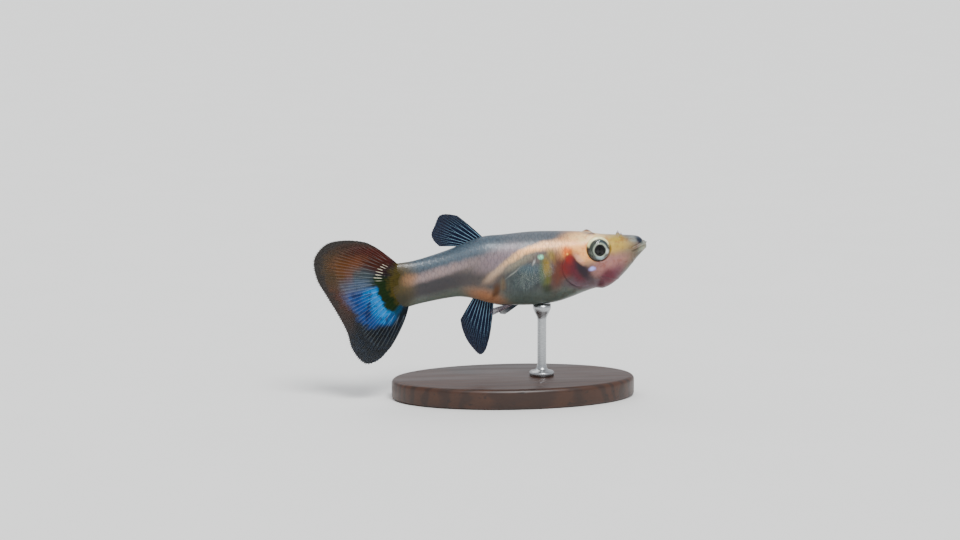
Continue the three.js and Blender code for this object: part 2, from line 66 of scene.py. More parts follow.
# Profiles of the body. Each row is a share of the standard length behind the jaw tip, then a value.
BACK = [
    (0, 0.808), (0.0175, 0.856), (0.037, 0.901), (0.084, 0.918), (0.177, 0.936), (0.216, 0.959),
    (0.274, 0.98), (0.371, 0.994), (0.456, 0.992), (0.565, 0.961), (0.631, 0.945), (0.689, 0.888),
    (0.759, 0.789), (0.829, 0.705), (0.895, 0.641), (0.946, 0.616),
]
BELLY = [
    (0, 0.747), (0.0136, 0.716), (0.037, 0.633), (0.084, 0.429), (0.13, 0.278), (0.169, 0.208),
    (0.2, 0.21), (0.247, 0.16), (0.293, 0.099), (0.352, 0.035), (0.433, 0.002), (0.518, 0.002),
    (0.573, 0.008), (0.619, 0.05), (0.666, 0.1), (0.724, 0.136), (0.783, 0.121), (0.852, 0.085),
    (0.899, 0.056), (0.946, 0.017),
]
HALF_WIDTH = [
    (0, 0.15), (0.037, 0.158), (0.084, 0.2), (0.14, 0.245), (0.19, 0.278), (0.25, 0.3), (0.34, 0.312),
    (0.45, 0.314), (0.55, 0.288), (0.62, 0.25), (0.7, 0.203), (0.78, 0.163), (0.86, 0.126),
    (0.92, 0.098), (0.946, 0.084),
]
WAIST = [(0, 0.5), (0.06, 0.62), (0.18, 0.64), (0.3, 0.58), (0.5, 0.52), (1, 0.5)]
BACK_FULLNESS = [(0, 2), (0.05, 2.5), (0.18, 2.7), (0.3, 2.3), (0.5, 2.05), (1, 1.9)]
BELLY_FULLNESS = [(0, 2), (0.08, 1.8), (0.2, 1.75), (0.35, 2.05), (0.55, 2.1), (0.75, 1.9), (1, 1.9)]


# Curves and small sums


def curve_through(rows):
    """A smooth curve through (place, value) rows, flat outside them."""
    places, values = np.array(rows, float).T
    slopes = np.empty_like(values)
    slopes[1:-1] = (values[2:] - values[:-2]) / (places[2:] - places[:-2])
    slopes[0] = (values[1] - values[0]) / (places[1] - places[0])
    slopes[-1] = (values[-1] - values[-2]) / (places[-1] - places[-2])

    def value_at(place):
        place = np.clip(place, places[0], places[-1])
        i = np.clip(np.searchsorted(places, place, side="right") - 1, 0, len(places) - 2)
        span = places[i + 1] - places[i]
        t = (place - places[i]) / span
        start = values[i] * (1 + 2 * t) * (1 - t) ** 2 + slopes[i] * span * t * (1 - t) ** 2
        end = values[i + 1] * t * t * (3 - 2 * t) - slopes[i + 1] * span * t * t * (1 - t)
        return start + end

    return value_at


def mix(a, b, t):
    return a + (b - a) * t


def ease(value, start, end):
    t = np.clip((value - start) / (end - start), 0, 1)
    return t * t * (3 - 2 * t)


def bump(distance, width):
    """A rounded hump, 1 at no distance and nearly 0 at twice the width."""
    return np.exp(-((distance / width) ** 2))


back = curve_through(BACK)
belly = curve_through(BELLY)
half_width = curve_through(HALF_WIDTH)
waist = curve_through(WAIST)
back_fullness = curve_through(BACK_FULLNESS)
belly_fullness = curve_through(BELLY_FULLNESS)


def share_at(x):
    return (JAW_TIP_X - x) / STANDARD_LENGTH


def sway(share):
    """Sideways place of the body's middle plane. It goes on past 1 into the tail fin."""
    bend = np.clip((share - BEND_FROM) / (1 - BEND_FROM), 0, 1)
    follow = np.maximum(share - 1, 0)
    return -TAIL_SWAY * (bend**2 + BEND_ON * follow - BEND_EASE * follow**2)


def section_at(share):
    """The body's cross-section at a share of its length: place, half sizes and roundness."""
    tip = np.clip((share - STEM_END) / (1 - STEM_END), 0, 1)
    shrink = np.sqrt(np.maximum(1 - tip**2, 1e-6))
    nose = 1 - np.clip(share / NOSE_ROUND, 0, 1)
    narrowing = np.sqrt(1 - (1 - NOSE_TIP**2) * nose**2)
    top = BELLY_LEVEL + BODY_DEPTH * back(share)
    bottom = BELLY_LEVEL + BODY_DEPTH * belly(share)
    middle = mix(bottom, top, waist(share))
    return {
        "x": JAW_TIP_X - STANDARD_LENGTH * share - LIP_FULLNESS * nose**2,
        "y": sway(share),
        "z": middle,
        "rise": (top - middle) * shrink,
        "drop": (middle - bottom) * shrink,
        "half": BODY_DEPTH * half_width(share) * narrowing * mix(1, shrink, 0.6),
        "lean": STEM_LEAN * ease(share, 0.72, STEM_END),
        "back_power": 2 / back_fullness(share),
        "belly_power": 2 / belly_fullness(share),
    }


def flank_at(x, z):
    """Half the body's width at a place in the side view."""
    s = section_at(share_at(x))
    above = z >= s["z"]
    power = np.where(above, s["back_power"], s["belly_power"])
    part = np.clip(np.abs(z - s["z"]) / np.where(above, s["rise"], s["drop"]), 0, 1)
    return s["half"] * (1 - part ** (2 / power)) ** (power / 2)


# Camera, at the photograph's viewing angle

CAMERA_AZIMUTH = math.radians(-9)
CAMERA_ELEVATION = math.radians(8)
CAMERA_DISTANCE = 0.368
CAMERA_AIM = (-0.0002, 0, 0.0178)


def make_camera():
    """A long lens, so that the fish isn't drawn out."""
    lens = bpy.data.cameras.new("camera")
    lens.lens = 100
    lens.clip_start = 0.01
    camera = bpy.data.objects.new("camera", lens)
    bpy.context.scene.collection.objects.link(camera)
    back_way = Vector((
        math.sin(CAMERA_AZIMUTH) * math.cos(CAMERA_ELEVATION),
        -math.cos(CAMERA_AZIMUTH) * math.cos(CAMERA_ELEVATION),
        math.sin(CAMERA_ELEVATION),
    ))
    camera.location = Vector(CAMERA_AIM) + CAMERA_DISTANCE * back_way
    camera.rotation_euler = back_way.to_track_quat("Z", "Y").to_euler()
    bpy.context.scene.camera = camera


make_camera()


# Meshes


def make_mesh(name, points, faces, uv=None, values=None):
    """A smooth mesh object from points in millimetres, with values kept on its points by name."""
    mesh = bpy.data.meshes.new(name)
    mesh.from_pydata(np.asarray(points).reshape(-1, 3) * MM, [], faces)
    mesh.polygons.foreach_set("use_smooth", np.ones(len(mesh.polygons), bool))
    if uv is not None:
        mesh.uv_layers.new(name="OFBake").data.foreach_set("uv", uv.astype(np.float32).ravel())
    for key, value in (values or {}).items():
        kept = mesh.attributes.new(key, "FLOAT", "POINT")
        kept.data.foreach_set("value", np.asarray(value, np.float32).ravel())
    mesh.update()
    piece = bpy.data.objects.new(name, mesh)
    bpy.context.scene.collection.objects.link(piece)
    return piece


def finish_piece(piece, material, nodes=()):
    """Gives a piece its finish, its place in the model and the solids that it stands for."""
    piece.data.materials.append(material)
    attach(piece, "root")
    if nodes:
        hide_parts(*nodes)


def grid_faces(rows, columns, wrap, first=0):
    """Quads over a grid of points, and the (row, column) corner of each, for its UV map."""
    r, c = np.meshgrid(np.arange(rows - 1), np.arange(columns if wrap else columns - 1), indexing="ij")
    corners = np.stack([[r, c], [r, c + 1], [r + 1, c + 1], [r + 1, c]])
    corners = corners.transpose(2, 3, 0, 1).reshape(-1, 4, 2)
    faces = first + corners[..., 0] * columns + corners[..., 1] % columns
    return faces, corners


def end_caps(rows, sides):
    """The two flat faces that close a tube of rings."""
    last = (rows - 1) * sides
    return [list(range(sides))[::-1], list(range(last, last + sides))]


def facing(points, wrap):
    """The outward direction at each point of a grid."""
    if wrap:
        around = np.roll(points, -1, 1) - np.roll(points, 1, 1)
    else:
        around = np.gradient(points, axis=1)
    along = np.gradient(points, axis=0)
    out = np.cross(along, around)
    return out / np.maximum(np.linalg.norm(out, axis=-1, keepdims=True), 1e-12)


def lathe(name, profile, sides, axis=(0, 0, 1), at=(0, 0, 0), values=None, shift=None):
    """A closed turned form. The profile is (radius, height) rows, and shift moves each row aside."""
    radius, height = np.array(profile, float).T
    angle = 2 * np.pi * np.arange(sides) / sides
    ring = np.stack([np.cos(angle), np.sin(angle), np.zeros(sides)], -1)
    points = radius[:, None, None] * ring + height[:, None, None] * np.array([0, 0, 1.0])
    turn = np.array(Vector((0, 0, 1)).rotation_difference(Vector(axis)).to_matrix())
    points = points @ turn.T + np.array(at)
    if shift is not None:
        points = points + shift[:, None, :]
    faces, _ = grid_faces(len(profile), sides, wrap=True)
    kept = {key: np.repeat(value, sides) for key, value in (values or {}).items()}
    return make_mesh(name, points, faces.tolist() + end_caps(len(profile), sides), values=kept)


# The skin: one closed surface over head, jaw, trunk and tail stem

SKIN_RINGS = 640
SKIN_SIDES = 320
RING_SPREAD = [(0, 0), (0.12, 0.03), (0.42, 0.26), (0.92, 0.95), (1, 1)]

EYE = {"x": 15.9, "y": 2.42, "z": 20.7, "radius": 1.7, "forward": 0.1, "upward": 0.1}
ORBIT = [(1.5, -0.45), (1.66, -0.02), (1.73, 0.2), (1.86, 0.42), (2.1, 0.8)]
ORBIT_REACH = 2.05
ORBIT_DEPTH = 1.5
GILL_COVER = {
    "x": 13.9, "z": 18.5, "half_length": 3.0, "half_height": 2.85, "reach": 2.9, "rise": 0.13, "slit": 0.16,
}
MOUTH = {"front": (24.5, 21.4), "lip": (22.5, 21.2), "corner": (20.8, 20.5)}
LIP_ROUND = {"away": 0.26, "width": 0.17, "rise": 0.13}
LIP_FOLD = {"width": 0.075, "depth": 0.3}
JAW_CREASE = {"away": 0.62, "width": 0.12, "depth": 0.07}
HEAD_TOP = 21.2
SNOUT_TOP = 21.6
BROW = {"x": 15.15, "out": 1.85, "rise": 0.55, "length": 0.75, "width": 0.45}
FLAP = {"x": 19.42, "out": 1.0, "rise": 0.6, "length": 0.19, "width": 0.26}
NOSTRIL = {"x": 19.3, "out": 1.2, "pit": 0.17, "depth": 0.26}
NOSTRIL_RIM = {"away": 0.32, "width": 0.09, "rise": 0.07}
SCALES = {"columns": 27, "rows": 19, "from": 0.3, "to": 0.965, "lift": 0.03}


def eye_axis(side):
    axis = np.array([EYE["forward"], side, EYE["upward"]])
    return axis / np.linalg.norm(axis)


def skin_base():
    """The smooth body: points by ring and side, and where each lies along and round the body."""
    share = curve_through(RING_SPREAD)(np.linspace(0, 1, SKIN_RINGS))[:, None]
    angle = (2 * np.pi * np.arange(SKIN_SIDES) / SKIN_SIDES)[None, :]
    s = section_at(share)
    up, out = np.cos(angle), np.sin(angle)
    power = np.where(up >= 0, s["back_power"], s["belly_power"])
    lift = np.sign(up) * np.abs(up) ** power * np.where(up >= 0, s["rise"], s["drop"])
    wide = np.sign(out) * np.abs(out) ** power * s["half"]
    points = np.stack([s["x"] - s["lean"] * lift, s["y"] + wide, s["z"] + lift], -1)
    return points, np.broadcast_to(share, lift.shape), np.broadcast_to(angle, lift.shape)


def orbit_sink(points):
    """How far the skin is drawn in along each eye's axis, so that a rounded rim goes round the eye."""
    moved = np.zeros_like(points)
    limit_at = curve_through(ORBIT)
    tight = 14.0  # how closely the skin follows the orbit's rim
    for side in (-1, 1):
        axis = eye_axis(side)
        reach = points - np.array([EYE["x"], side * EYE["y"], EYE["z"]])
        height = reach @ axis
        radius = np.linalg.norm(reach - height[..., None] * axis, axis=-1)
        near = (radius < ORBIT_REACH) & (height > -ORBIT_DEPTH)
        limit = limit_at(radius)
        soft = -np.log(np.exp(-tight * height) + np.exp(-tight * limit)) / tight
        moved += np.where(near, soft - height, 0)[..., None] * axis
    return moved


def gill_cover_relief(x, z):
    """The raised plate over the gills, its free rear edge and the ridge inside it."""
    g = GILL_COVER
    across, up = (x - g["x"]) / g["half_length"], (z - g["z"]) / g["half_height"]
    ring = np.sqrt(across**2 + up**2)
    beyond = (ring - 1) * g["reach"]
    free = ease(-across, -0.45, 0.25) * ease(z, 14.9, 15.6) * ease(-z, -20.9, -19.2)
    plate = g["rise"] * (1 - ease(beyond, -0.05, 0.05)) * ease(1.02 - ring, -0.1, 0.6) ** 0.3
    slit = g["slit"] * bump(beyond - 0.09, 0.07)
    inner_ridge = 0.035 * bump((ring - 0.62) * g["reach"], 0.12) * ease(-across, -0.3, 0.2)
    return free * (plate - slit) + inner_ridge


def mouth_relief(x, z):
    """The line of the mouth with a rounded lip above and below it."""
    (front_x, front_z), (lip_x, lip_z), (corner_x, corner_z) = MOUTH.values()
    line = np.interp(x, [corner_x, lip_x, front_x], [corner_z, lip_z, front_z])
    above = z - line
    here = ease(x, corner_x - 0.25, corner_x + 0.25)
    fold = LIP_FOLD["depth"] * bump(above, LIP_FOLD["width"])
    lips = LIP_ROUND["rise"] * bump(np.abs(above) - LIP_ROUND["away"], LIP_ROUND["width"])
    jaw_crease = JAW_CREASE["depth"] * bump(above + JAW_CREASE["away"], JAW_CREASE["width"])
    return here * (lips - fold - jaw_crease)


def nostril_relief(x, y, z):
    """A pit on each side of the snout's top, and its rim."""
    away = np.hypot(x - NOSTRIL["x"], np.abs(y) - NOSTRIL["out"])
    pit = NOSTRIL["depth"] * bump(away, NOSTRIL["pit"])
    rim = NOSTRIL_RIM["rise"] * bump(away - NOSTRIL_RIM["away"], NOSTRIL_RIM["width"])
    return (z > SNOUT_TOP) * (rim - pit)


def stud(x, out, form):
    """A rounded stud of a form's rise, length and width, at its place on the head."""
    away = np.hypot((x - form["x"]) / form["length"], (out - form["out"]) / form["width"])
    return form["rise"] * bump(away, 1)


def upward_relief(x, y, z):
    """What stands straight up from the head: the brow over each eye, and the flap behind each nostril."""
    return (z > HEAD_TOP) * (stud(x, np.abs(y), BROW) + stud(x, np.abs(y), FLAP))


def head_relief(x, z):
    """Low folds of the cheek, the throat and the bones of the head."""
    cheek = 0.05 * bump(np.hypot((x - 18.6) / 1.3, (z - 17.9) / 0.8), 1)
    jaw_hinge = -0.05 * bump(np.hypot(x - 20.9 + (z - 19.4) * 0.35, (z - 19.2) / 6), 0.16) * ease(z, 17, 18)
    throat = -0.05 * bump(z - 16.4 + (x - 18.5) * 0.28, 0.14) * ease(x, 15.5, 16.5)
    return cheek + jaw_hinge + throat


def scattered(column, row):
    """A number from 0 to 1 for each scale, with no order to the eye and the same on each run."""
    return np.modf(np.abs(np.sin(column * 12.9898 + row * 78.233) * 43758.5))[0]


def scale_relief(share, angle):
    """Overlapping scales: their height, how near a free edge each point is, and a tone for each scale."""
    s = SCALES
    along = (share - s["from"]) / (s["to"] - s["from"]) * s["columns"]
    around = angle / (2 * np.pi) * s["rows"] * 2
    height = np.zeros_like(along)
    edge = np.zeros_like(along)
    tone = np.full_like(along, 0.5)
    taken = np.zeros(along.shape, bool)
    for step in (-1.0, -0.5, 0.0, 0.5, 1.0):
        column = np.floor(along * 2) / 2 + step
        odd = (np.round(column * 2) % 2).astype(int)
        row = np.round((around - odd) / 2) * 2 + odd
        ahead, aside = along - column, (around - row) / 2
        radius = np.hypot(ahead / 0.98, aside / 0.74)
        mine = (radius < 1) & (ahead > -0.2) & ~taken
        height = np.where(mine, 0.25 + 0.75 * np.clip(ahead, 0, 1), height)
        edge = np.where(mine, ease(radius, 0.8, 1.0), edge)
        tone = np.where(mine, scattered(column, row % (2 * s["rows"])), tone)
        taken |= mine
    present = ease(share, s["from"] - 0.02, s["from"] + 0.05) * (1 - ease(share, s["to"] - 0.03, s["to"]))
    return height * present, edge * present, mix(0.5, tone, present)


def make_skin_mesh():
    """The skin with all its relief, closed at the snout and at the end of the tail stem."""
    points, share, angle = skin_base()
    x, y, z = np.moveaxis(points, -1, 0)
    out = facing(points, wrap=True)
    scale_height, scale_edge, scale_tone = scale_relief(share, angle)
    relief = gill_cover_relief(x, z) + mouth_relief(x, z) + nostril_relief(x, y, z) + head_relief(x, z)
    relief = relief * ease(share, 0, 0.012) + SCALES["lift"] * (scale_height - 0.5)
    skin = points + relief[..., None] * out
    skin[..., 2] += upward_relief(x, y, z)
    skin += orbit_sink(skin)

    faces, corners = grid_faces(SKIN_RINGS, SKIN_SIDES, wrap=True)
    uv = corners / np.array([SKIN_RINGS - 1, SKIN_SIDES])
    front = skin[0].mean(0) + np.array([0.03, 0, 0])
    rear = skin[-1].mean(0) - np.array([0.01, 0, 0])
    count = SKIN_RINGS * SKIN_SIDES
    last = count - SKIN_SIDES
    k = np.arange(SKIN_SIDES)
    next_k = (k + 1) % SKIN_SIDES
    front_cap = np.stack([np.full_like(k, count), next_k, k], -1)
    rear_cap = np.stack([np.full_like(k, count + 1), last + k, last + next_k], -1)
    cap_uv = np.zeros((2 * SKIN_SIDES, 3, 2))
    cap_uv[:, 1:, 1] = np.tile(np.stack([k, k + 1], -1) / SKIN_SIDES, (2, 1))
    cap_uv[SKIN_SIDES:, :, 0] = 1
    top = BELLY_LEVEL + BODY_DEPTH * back(share)
    bottom = BELLY_LEVEL + BODY_DEPTH * belly(share)
    values = {"along": share, "up": (z - bottom) / (top - bottom), "edge": scale_edge, "tone": scale_tone}
    values = {key: np.append(value.ravel(), [0, 0]) for key, value in values.items()}
    all_points = np.concatenate([skin.reshape(-1, 3), [front, rear]])
    all_faces = faces.tolist() + front_cap.tolist() + rear_cap.tolist()
    all_uv = np.concatenate([uv.reshape(-1, 2), cap_uv.reshape(-1, 2)])
    return make_mesh("skin", all_points, all_faces, all_uv, values)


# Fins: thin sheets with branching rays raised on both faces


def line_through(rows):
    """A smooth line in the side view through (share across, x, z) rows."""
    return [curve_through([(row[0], row[k]) for row in rows]) for k in (1, 2)]


def middle_fan(roots, tips, bows, wave):
    """A fin that stands in the fish's middle plane."""
    (root_x, root_z), (tip_x, tip_z), (bow_x, bow_z) = map(line_through, (roots, tips, bows))

    def in_plane(x, z):
        return np.stack([x, sway(share_at(x)), z], -1)

    return {
        "root": lambda across: in_plane(root_x(across), root_z(across)),
        "tip": lambda across: in_plane(tip_x(across), tip_z(across)),
        "bow": lambda across: np.stack([bow_x(across), 0 * across, bow_z(across)], -1),
        "side": np.array([0, 1.0, 0]),
        "billow": wave,
    }


def paired_fan(side, roots, tips, bow):
    """A fin at the fish's flank. Its rows end in how far out from the middle plane each place is."""
    (root_x, root_z), (tip_x, tip_z) = map(line_through, (roots, tips))
    root_out, tip_out = (curve_through([(row[0], row[3]) for row in rows]) for rows in (roots, tips))

    def placed(x, z, out):
        return np.stack([x, sway(share_at(x)) + side * out, z], -1)

    return {
        "root": lambda across: placed(root_x(across), root_z(across), root_out(across)),
        "tip": lambda across: placed(tip_x(across), tip_z(across), tip_out(across)),
        "bow": lambda across: np.stack([0 * across, side * bow + 0 * across, 0 * across], -1),
        "side": np.array([0, side, 0.0]),
        "billow": lambda across, along: 0.12 * along**2 * np.sin(6 * across),
    }


def ray_height(across, along, rays, splits):
    """How much ray is at a place, 0 to 1. Each ray forks at the given shares of its length."""
    offset = np.abs((across * rays) % 1 - 0.5)
    reach = 0.25
    for start in splits:
        offset = np.abs(offset - reach * ease(along, start - 0.06, start + 0.22))
        reach /= 2
    width = mix(0.13, 0.05, along)
    return np.sqrt(np.clip(1 - (offset / width) ** 2, 0, 1))


PLACES_PER_RAY = 14
FIN_MAP = {"face": 0.49, "far": 0.51, "rim": 0.004}  # shares of a fin's UV map


def sheet_faces(rows, columns):
    """Faces and UV map for two grids of points that lie face to face and are joined along their rim."""
    count = rows * columns
    near, near_corners = grid_faces(rows, columns, wrap=False)
    far, far_corners = grid_faces(rows, columns, wrap=False, first=count)
    index = np.arange(count).reshape(rows, columns)
    rim = np.concatenate([index[:, 0], index[-1, 1:], index[-2::-1, -1], index[0, -2:0:-1]])
    rim_next = np.roll(rim, -1)
    edge = np.stack([rim, rim_next, rim_next + count, rim + count], -1)
    scale = np.array([FIN_MAP["face"] / (rows - 1), 1 / (columns - 1)])
    place = np.stack(np.unravel_index(rim, (rows, columns)), -1) * scale
    place_next = np.roll(place, -1, 0)
    to_far, to_rim = (FIN_MAP["far"], 0), (FIN_MAP["rim"], 0)
    uv = [near_corners * scale, far_corners[:, ::-1] * scale + to_far]
    uv.append(np.stack([place, place_next, place_next + to_rim, place + to_rim], 1))
    faces = near.tolist() + far[:, ::-1].tolist() + edge.tolist()
    return faces, np.concatenate([part.reshape(-1, 2) for part in uv])


def make_fin_mesh(
    name, fan, rays, steps_out, splits, sink=0.9, membrane=0.1, rise=0.075, joints=0.28, fray=0.012, flare=0,
):
    """A fin as one closed sheet. Its values say where rays run and how far out along the fin a point is."""
    across = np.linspace(0, 1, rays * PLACES_PER_RAY + 1)[:, None]
    along = np.linspace(0, 1, steps_out)[None, :]
    root, tip, bow = fan["root"](across), fan["tip"](across), fan["bow"](across)
    length = np.linalg.norm(tip - root, axis=-1, keepdims=True)
    start = root + (root - tip) / length * sink
    ray = ray_height(across, along, rays, splits)
    ray_tip = ray_height(across, np.ones_like(across), rays, splits)[..., None]
    tip = tip + (tip - root) * fray * (ray_tip - 0.5)
    t = along[..., None]
    points = start * (1 - t) ** 2 + ((start + tip) / 2 + bow) * 2 * t * (1 - t) + tip * t**2
    points = points + fan["side"] * fan["billow"](across, along)[..., None]
    distance = along * (length[..., 0] + sink)
    notch = bump((distance / joints) % 1 - 0.5, 0.16) * ease(along, 0.35, 0.5)
    fade = 1 - ease(along, 0.8, 1)
    pitch = np.linalg.norm(np.gradient(points, axis=0), axis=-1) * PLACES_PER_RAY
    crest = np.minimum(rise, 0.35 * pitch) * ray * (1 - 0.35 * notch) * mix(0.35, 1, fade)
    base = flare * np.sqrt(1 - (2 * across - 1) ** 2) * (1 - ease(distance, 0, sink + 2.6))
    half = membrane / 2 * mix(0.45, 1, fade) + crest + base
    out = facing(points.transpose(1, 0, 2), wrap=False).transpose(1, 0, 2)
    thickness = half[..., None] * out
    sheets = np.stack([points + thickness, points - thickness])
    outward = distance / length[..., 0] - sink / length[..., 0]
    values = {"ray": ray * (1 - 0.3 * notch), "across": across + 0 * along, "out": outward}
    values = {key: np.tile(value.ravel(), 2) for key, value in values.items()}
    return make_mesh(name, sheets, *sheet_faces(*points.shape[:2]), values)


DORSAL = middle_fan(
    roots=[(0, 0.16, 22.3), (1, -2.85, 21.2)],
    tips=[
        (0, -3.44, 25.47), (0.15, -4.94, 25.7), (0.3, -5.94, 25.44), (0.5, -6.55, 24.17), (0.7, -7.05, 23),
        (0.85, -6.75, 22.1), (1, -5.95, 21.29),
    ],
    bows=[(0, 0.1, 0.2), (0.5, 0, 0), (1, 0, 0)],
    wave=lambda across, along: 0.35 * along**2 * np.sin(3 * across + 0.6),
)
ANAL = middle_fan(
    roots=[(0, 1.58, 13.01), (1, -1.24, 13.89)],
    tips=[
        (0, 1.02, 8.42), (0.15, 0.47, 6.63), (0.3, -0.29, 6.05), (0.5, -1.3, 6.99), (0.7, -2.15, 8.23),
        (0.85, -2.71, 9.65), (1, -2.96, 10.95),
    ],
    bows=[(0, 0.3, 0), (0.5, 0, 0), (1, -0.1, 0)],
    wave=lambda across, along: -0.4 * along**2 * np.cos(2.5 * across),
)
CAUDAL = middle_fan(
    roots=[
        (0, -11.97, 19.12), (0.25, -12.87, 17.88), (0.5, -13.18, 16.41), (0.75, -12.39, 14.4),
        (1, -10.55, 13),
    ],
    tips=[
        (0, -14.9, 21.5), (0.04, -16.4, 22.2), (0.1, -19.08, 22.51), (0.2, -21.73, 21.99),
        (0.3, -23.36, 19.97), (0.4, -23.04, 17.32), (0.5, -21.79, 15.03), (0.6, -20.24, 12.42),
        (0.7, -18.97, 9.91), (0.8, -18.2, 7.4), (0.9, -16.43, 5.45), (0.95, -14.6, 5.85), (1, -12.8, 7.6),
    ],
    bows=[(0, -0.1, 0.35), (0.3, 0, 0.1), (0.7, 0, 0), (1, 1.0, 0.3)],
    wave=lambda across, along: 0.45 * along**2 * np.sin(5 * across + 0.5),
)
PECTORAL_ROOT_X = 9.7
PECTORAL_OUT = float(flank_at(PECTORAL_ROOT_X, 18.1))
PECTORAL = {
    "roots": [(0, PECTORAL_ROOT_X, 18.8, PECTORAL_OUT), (1, PECTORAL_ROOT_X - 0.2, 17.5, PECTORAL_OUT)],
    "tips": [
        (0, 5.45, 19.3, PECTORAL_OUT + 1.7), (0.25, 4, 18.6, PECTORAL_OUT + 2.2),
        (0.5, 3.5, 17.4, PECTORAL_OUT + 2.3), (0.75, 4, 16.3, PECTORAL_OUT + 2),
        (1, 5.45, 15.5, PECTORAL_OUT + 1.5),
    ],
    "bow": 0.25,
}
PELVIC = {
    "right": {
        "roots": [(0, 4.7, 13.2, 0.6), (1, 4.05, 13.25, 0.9)],
        "tips": [(0, 1.55, 11.65, 0.8), (0.5, 0.9, 11.9, 1.2), (1, 0.95, 12.55, 1.5)],
        "bow": 0.05,
    },
    "left": {
        "roots": [(0, 5.7, 13, 0.6), (1, 5.05, 13, 0.9)],
        "tips": [(0, 3.45, 11.4, 0.9), (0.5, 2.8, 11.45, 1.3), (1, 2.65, 11.95, 1.6)],
        "bow": 0.05,
    },
}
SIDES = {"right": -1, "left": 1}


# Shader helpers


PAINT_DEPTH = 1.4  # paints are laid on a little deeper than noted, as varnish and studio light lift them


def paint(red, green, blue):
    """A colour as a painter's 0 to 255 values, made linear for the shaders."""
    shares = np.array([red, green, blue]) / 255
    linear = np.where(shares <= 0.04045, shares / 12.92, ((shares + 0.055) / 1.055) ** 2.4)
    return (*(linear**PAINT_DEPTH).tolist(), 1)


def feed(tree, node, inputs):
    """Sets inputs of a node. Each is another node's socket or a plain value."""
    for key, value in inputs.items():
        if isinstance(value, bpy.types.NodeSocket):
            tree.links.new(value, node.inputs[key])
        else:
            node.inputs[key].default_value = value


def add(tree, kind, inputs=None, **settings):
    """Adds a node to a tree, with its settings and inputs."""
    made = tree.nodes.new(kind)
    for key, value in settings.items():
        setattr(made, key, value)
    feed(tree, made, inputs or {})
    return made


def value_of(tree, name):
    return add(tree, "ShaderNodeAttribute", attribute_name=name).outputs["Fac"]


def math_of(tree, operation, first, second):
    return add(tree, "ShaderNodeMath", {0: first, 1: second}, operation=operation).outputs[0]


def times(tree, first, second):
    return math_of(tree, "MULTIPLY", first, second)


def vector_of(tree, operation, first, second):
    inputs = {0: first, "Scale" if operation == "SCALE" else 1: second}
    return add(tree, "ShaderNodeVectorMath", inputs, operation=operation).outputs[0]


def blend_of(tree, share, below, above, how="MIX"):
    made = add(tree, "ShaderNodeMix", {0: share, 6: below, 7: above}, data_type="RGBA", blend_type=how)
    return made.outputs[2]


def range_of(tree, value, start, end, low=0.0, high=1.0):
    """Goes smoothly from low to high as the value goes from start to end."""
    inputs = {"Value": value, "From Min": start, "From Max": end, "To Min": low, "To Max": high}
    return add(tree, "ShaderNodeMapRange", inputs, interpolation_type="SMOOTHSTEP").outputs[0]


def object_place(tree):
    return add(tree, "ShaderNodeTexCoord").outputs["Object"]


def noise_of(tree, scale, detail, rough, seed, place=None):
    """Uneven tone over the object, or over the place given."""
    if place is None:
        place = object_place(tree)
    inputs = {"Vector": place, "W": seed, "Scale": scale, "Detail": detail, "Roughness": rough}
    return add(tree, "ShaderNodeTexNoise", inputs, noise_dimensions="4D").outputs["Fac"]


def raised_of(tree, height, strength, depth):
    """The surface's facing with fine relief, whose depth is in millimetres."""
    inputs = {"Height": height, "Strength": strength, "Distance": depth * MM}
    return add(tree, "ShaderNodeBump", inputs).outputs[0]


def new_material(name):
    material = bpy.data.materials.new(name)
    material.use_nodes = True
    tree = material.node_tree
    tree.nodes.clear()
    shader = tree.nodes.new("ShaderNodeBsdfPrincipled")
    tree.links.new(shader.outputs[0], tree.nodes.new("ShaderNodeOutputMaterial").inputs[0])
    return material, tree, shader


def new_group(name, inputs, outputs):
    group = bpy.data.node_groups.new(name, "ShaderNodeTree")
    for label, kind, default in inputs:
        socket = group.interface.new_socket(label, in_out="INPUT", socket_type=kind)
        socket.default_value = default
    for label, kind in outputs:
        group.interface.new_socket(label, in_out="OUTPUT", socket_type=kind)
    return group, group.nodes.new("NodeGroupInput"), group.nodes.new("NodeGroupOutput")


def make_soft_patch():
    """A mask for one soft-edged oval marking in the side view, alike on both sides of the fish."""
    group, given, result = new_group(
        "Soft patch",
        [
            ("Place", "NodeSocketVector", (0, 0, 0)), ("Middle", "NodeSocketVector", (0, 0, 0)),
            ("Reach", "NodeSocketVector", (1, 1, 1)), ("Lean", "NodeSocketFloat", 0),
            ("Blur", "NodeSocketFloat", 0.5), ("Strength", "NodeSocketFloat", 1),
        ],
        [("Mask", "NodeSocketFloat")],
    )
    place, middle, reach, lean, blur, strength = given.outputs[:6]
    away = vector_of(group, "SUBTRACT", place, middle)
    turned = add(group, "ShaderNodeVectorRotate", {"Vector": away, "Angle": lean}, rotation_type="Y_AXIS")
    flat = vector_of(group, "MULTIPLY", turned.outputs[0], (1, 0, 1))
    share = vector_of(group, "DIVIDE", flat, reach)
    distance = add(group, "ShaderNodeVectorMath", {0: share}, operation="LENGTH").outputs["Value"]
    outer = math_of(group, "ADD", 1.0, blur)
    inner = math_of(group, "SUBTRACT", 1.0, blur)
    mask = range_of(group, distance, outer, inner)
    feed(group, result, {0: times(group, mask, strength)})
    return group


SOFT_PATCH = make_soft_patch()


def marking(tree, place, at, reach, lean=0, blur=0.5, strength=1.0):
    """One soft patch, at (x, z) with half sizes, all in millimetres, and a lean in degrees."""
    inputs = {
        "Place": place,
        "Middle": (at[0] * MM, 0, at[1] * MM),
        "Reach": (reach[0] * MM, 1, reach[1] * MM),
        "Lean": math.radians(lean),
        "Blur": blur,
        "Strength": strength,
    }
    return add(tree, "ShaderNodeGroup", inputs, node_tree=SOFT_PATCH).outputs["Mask"]


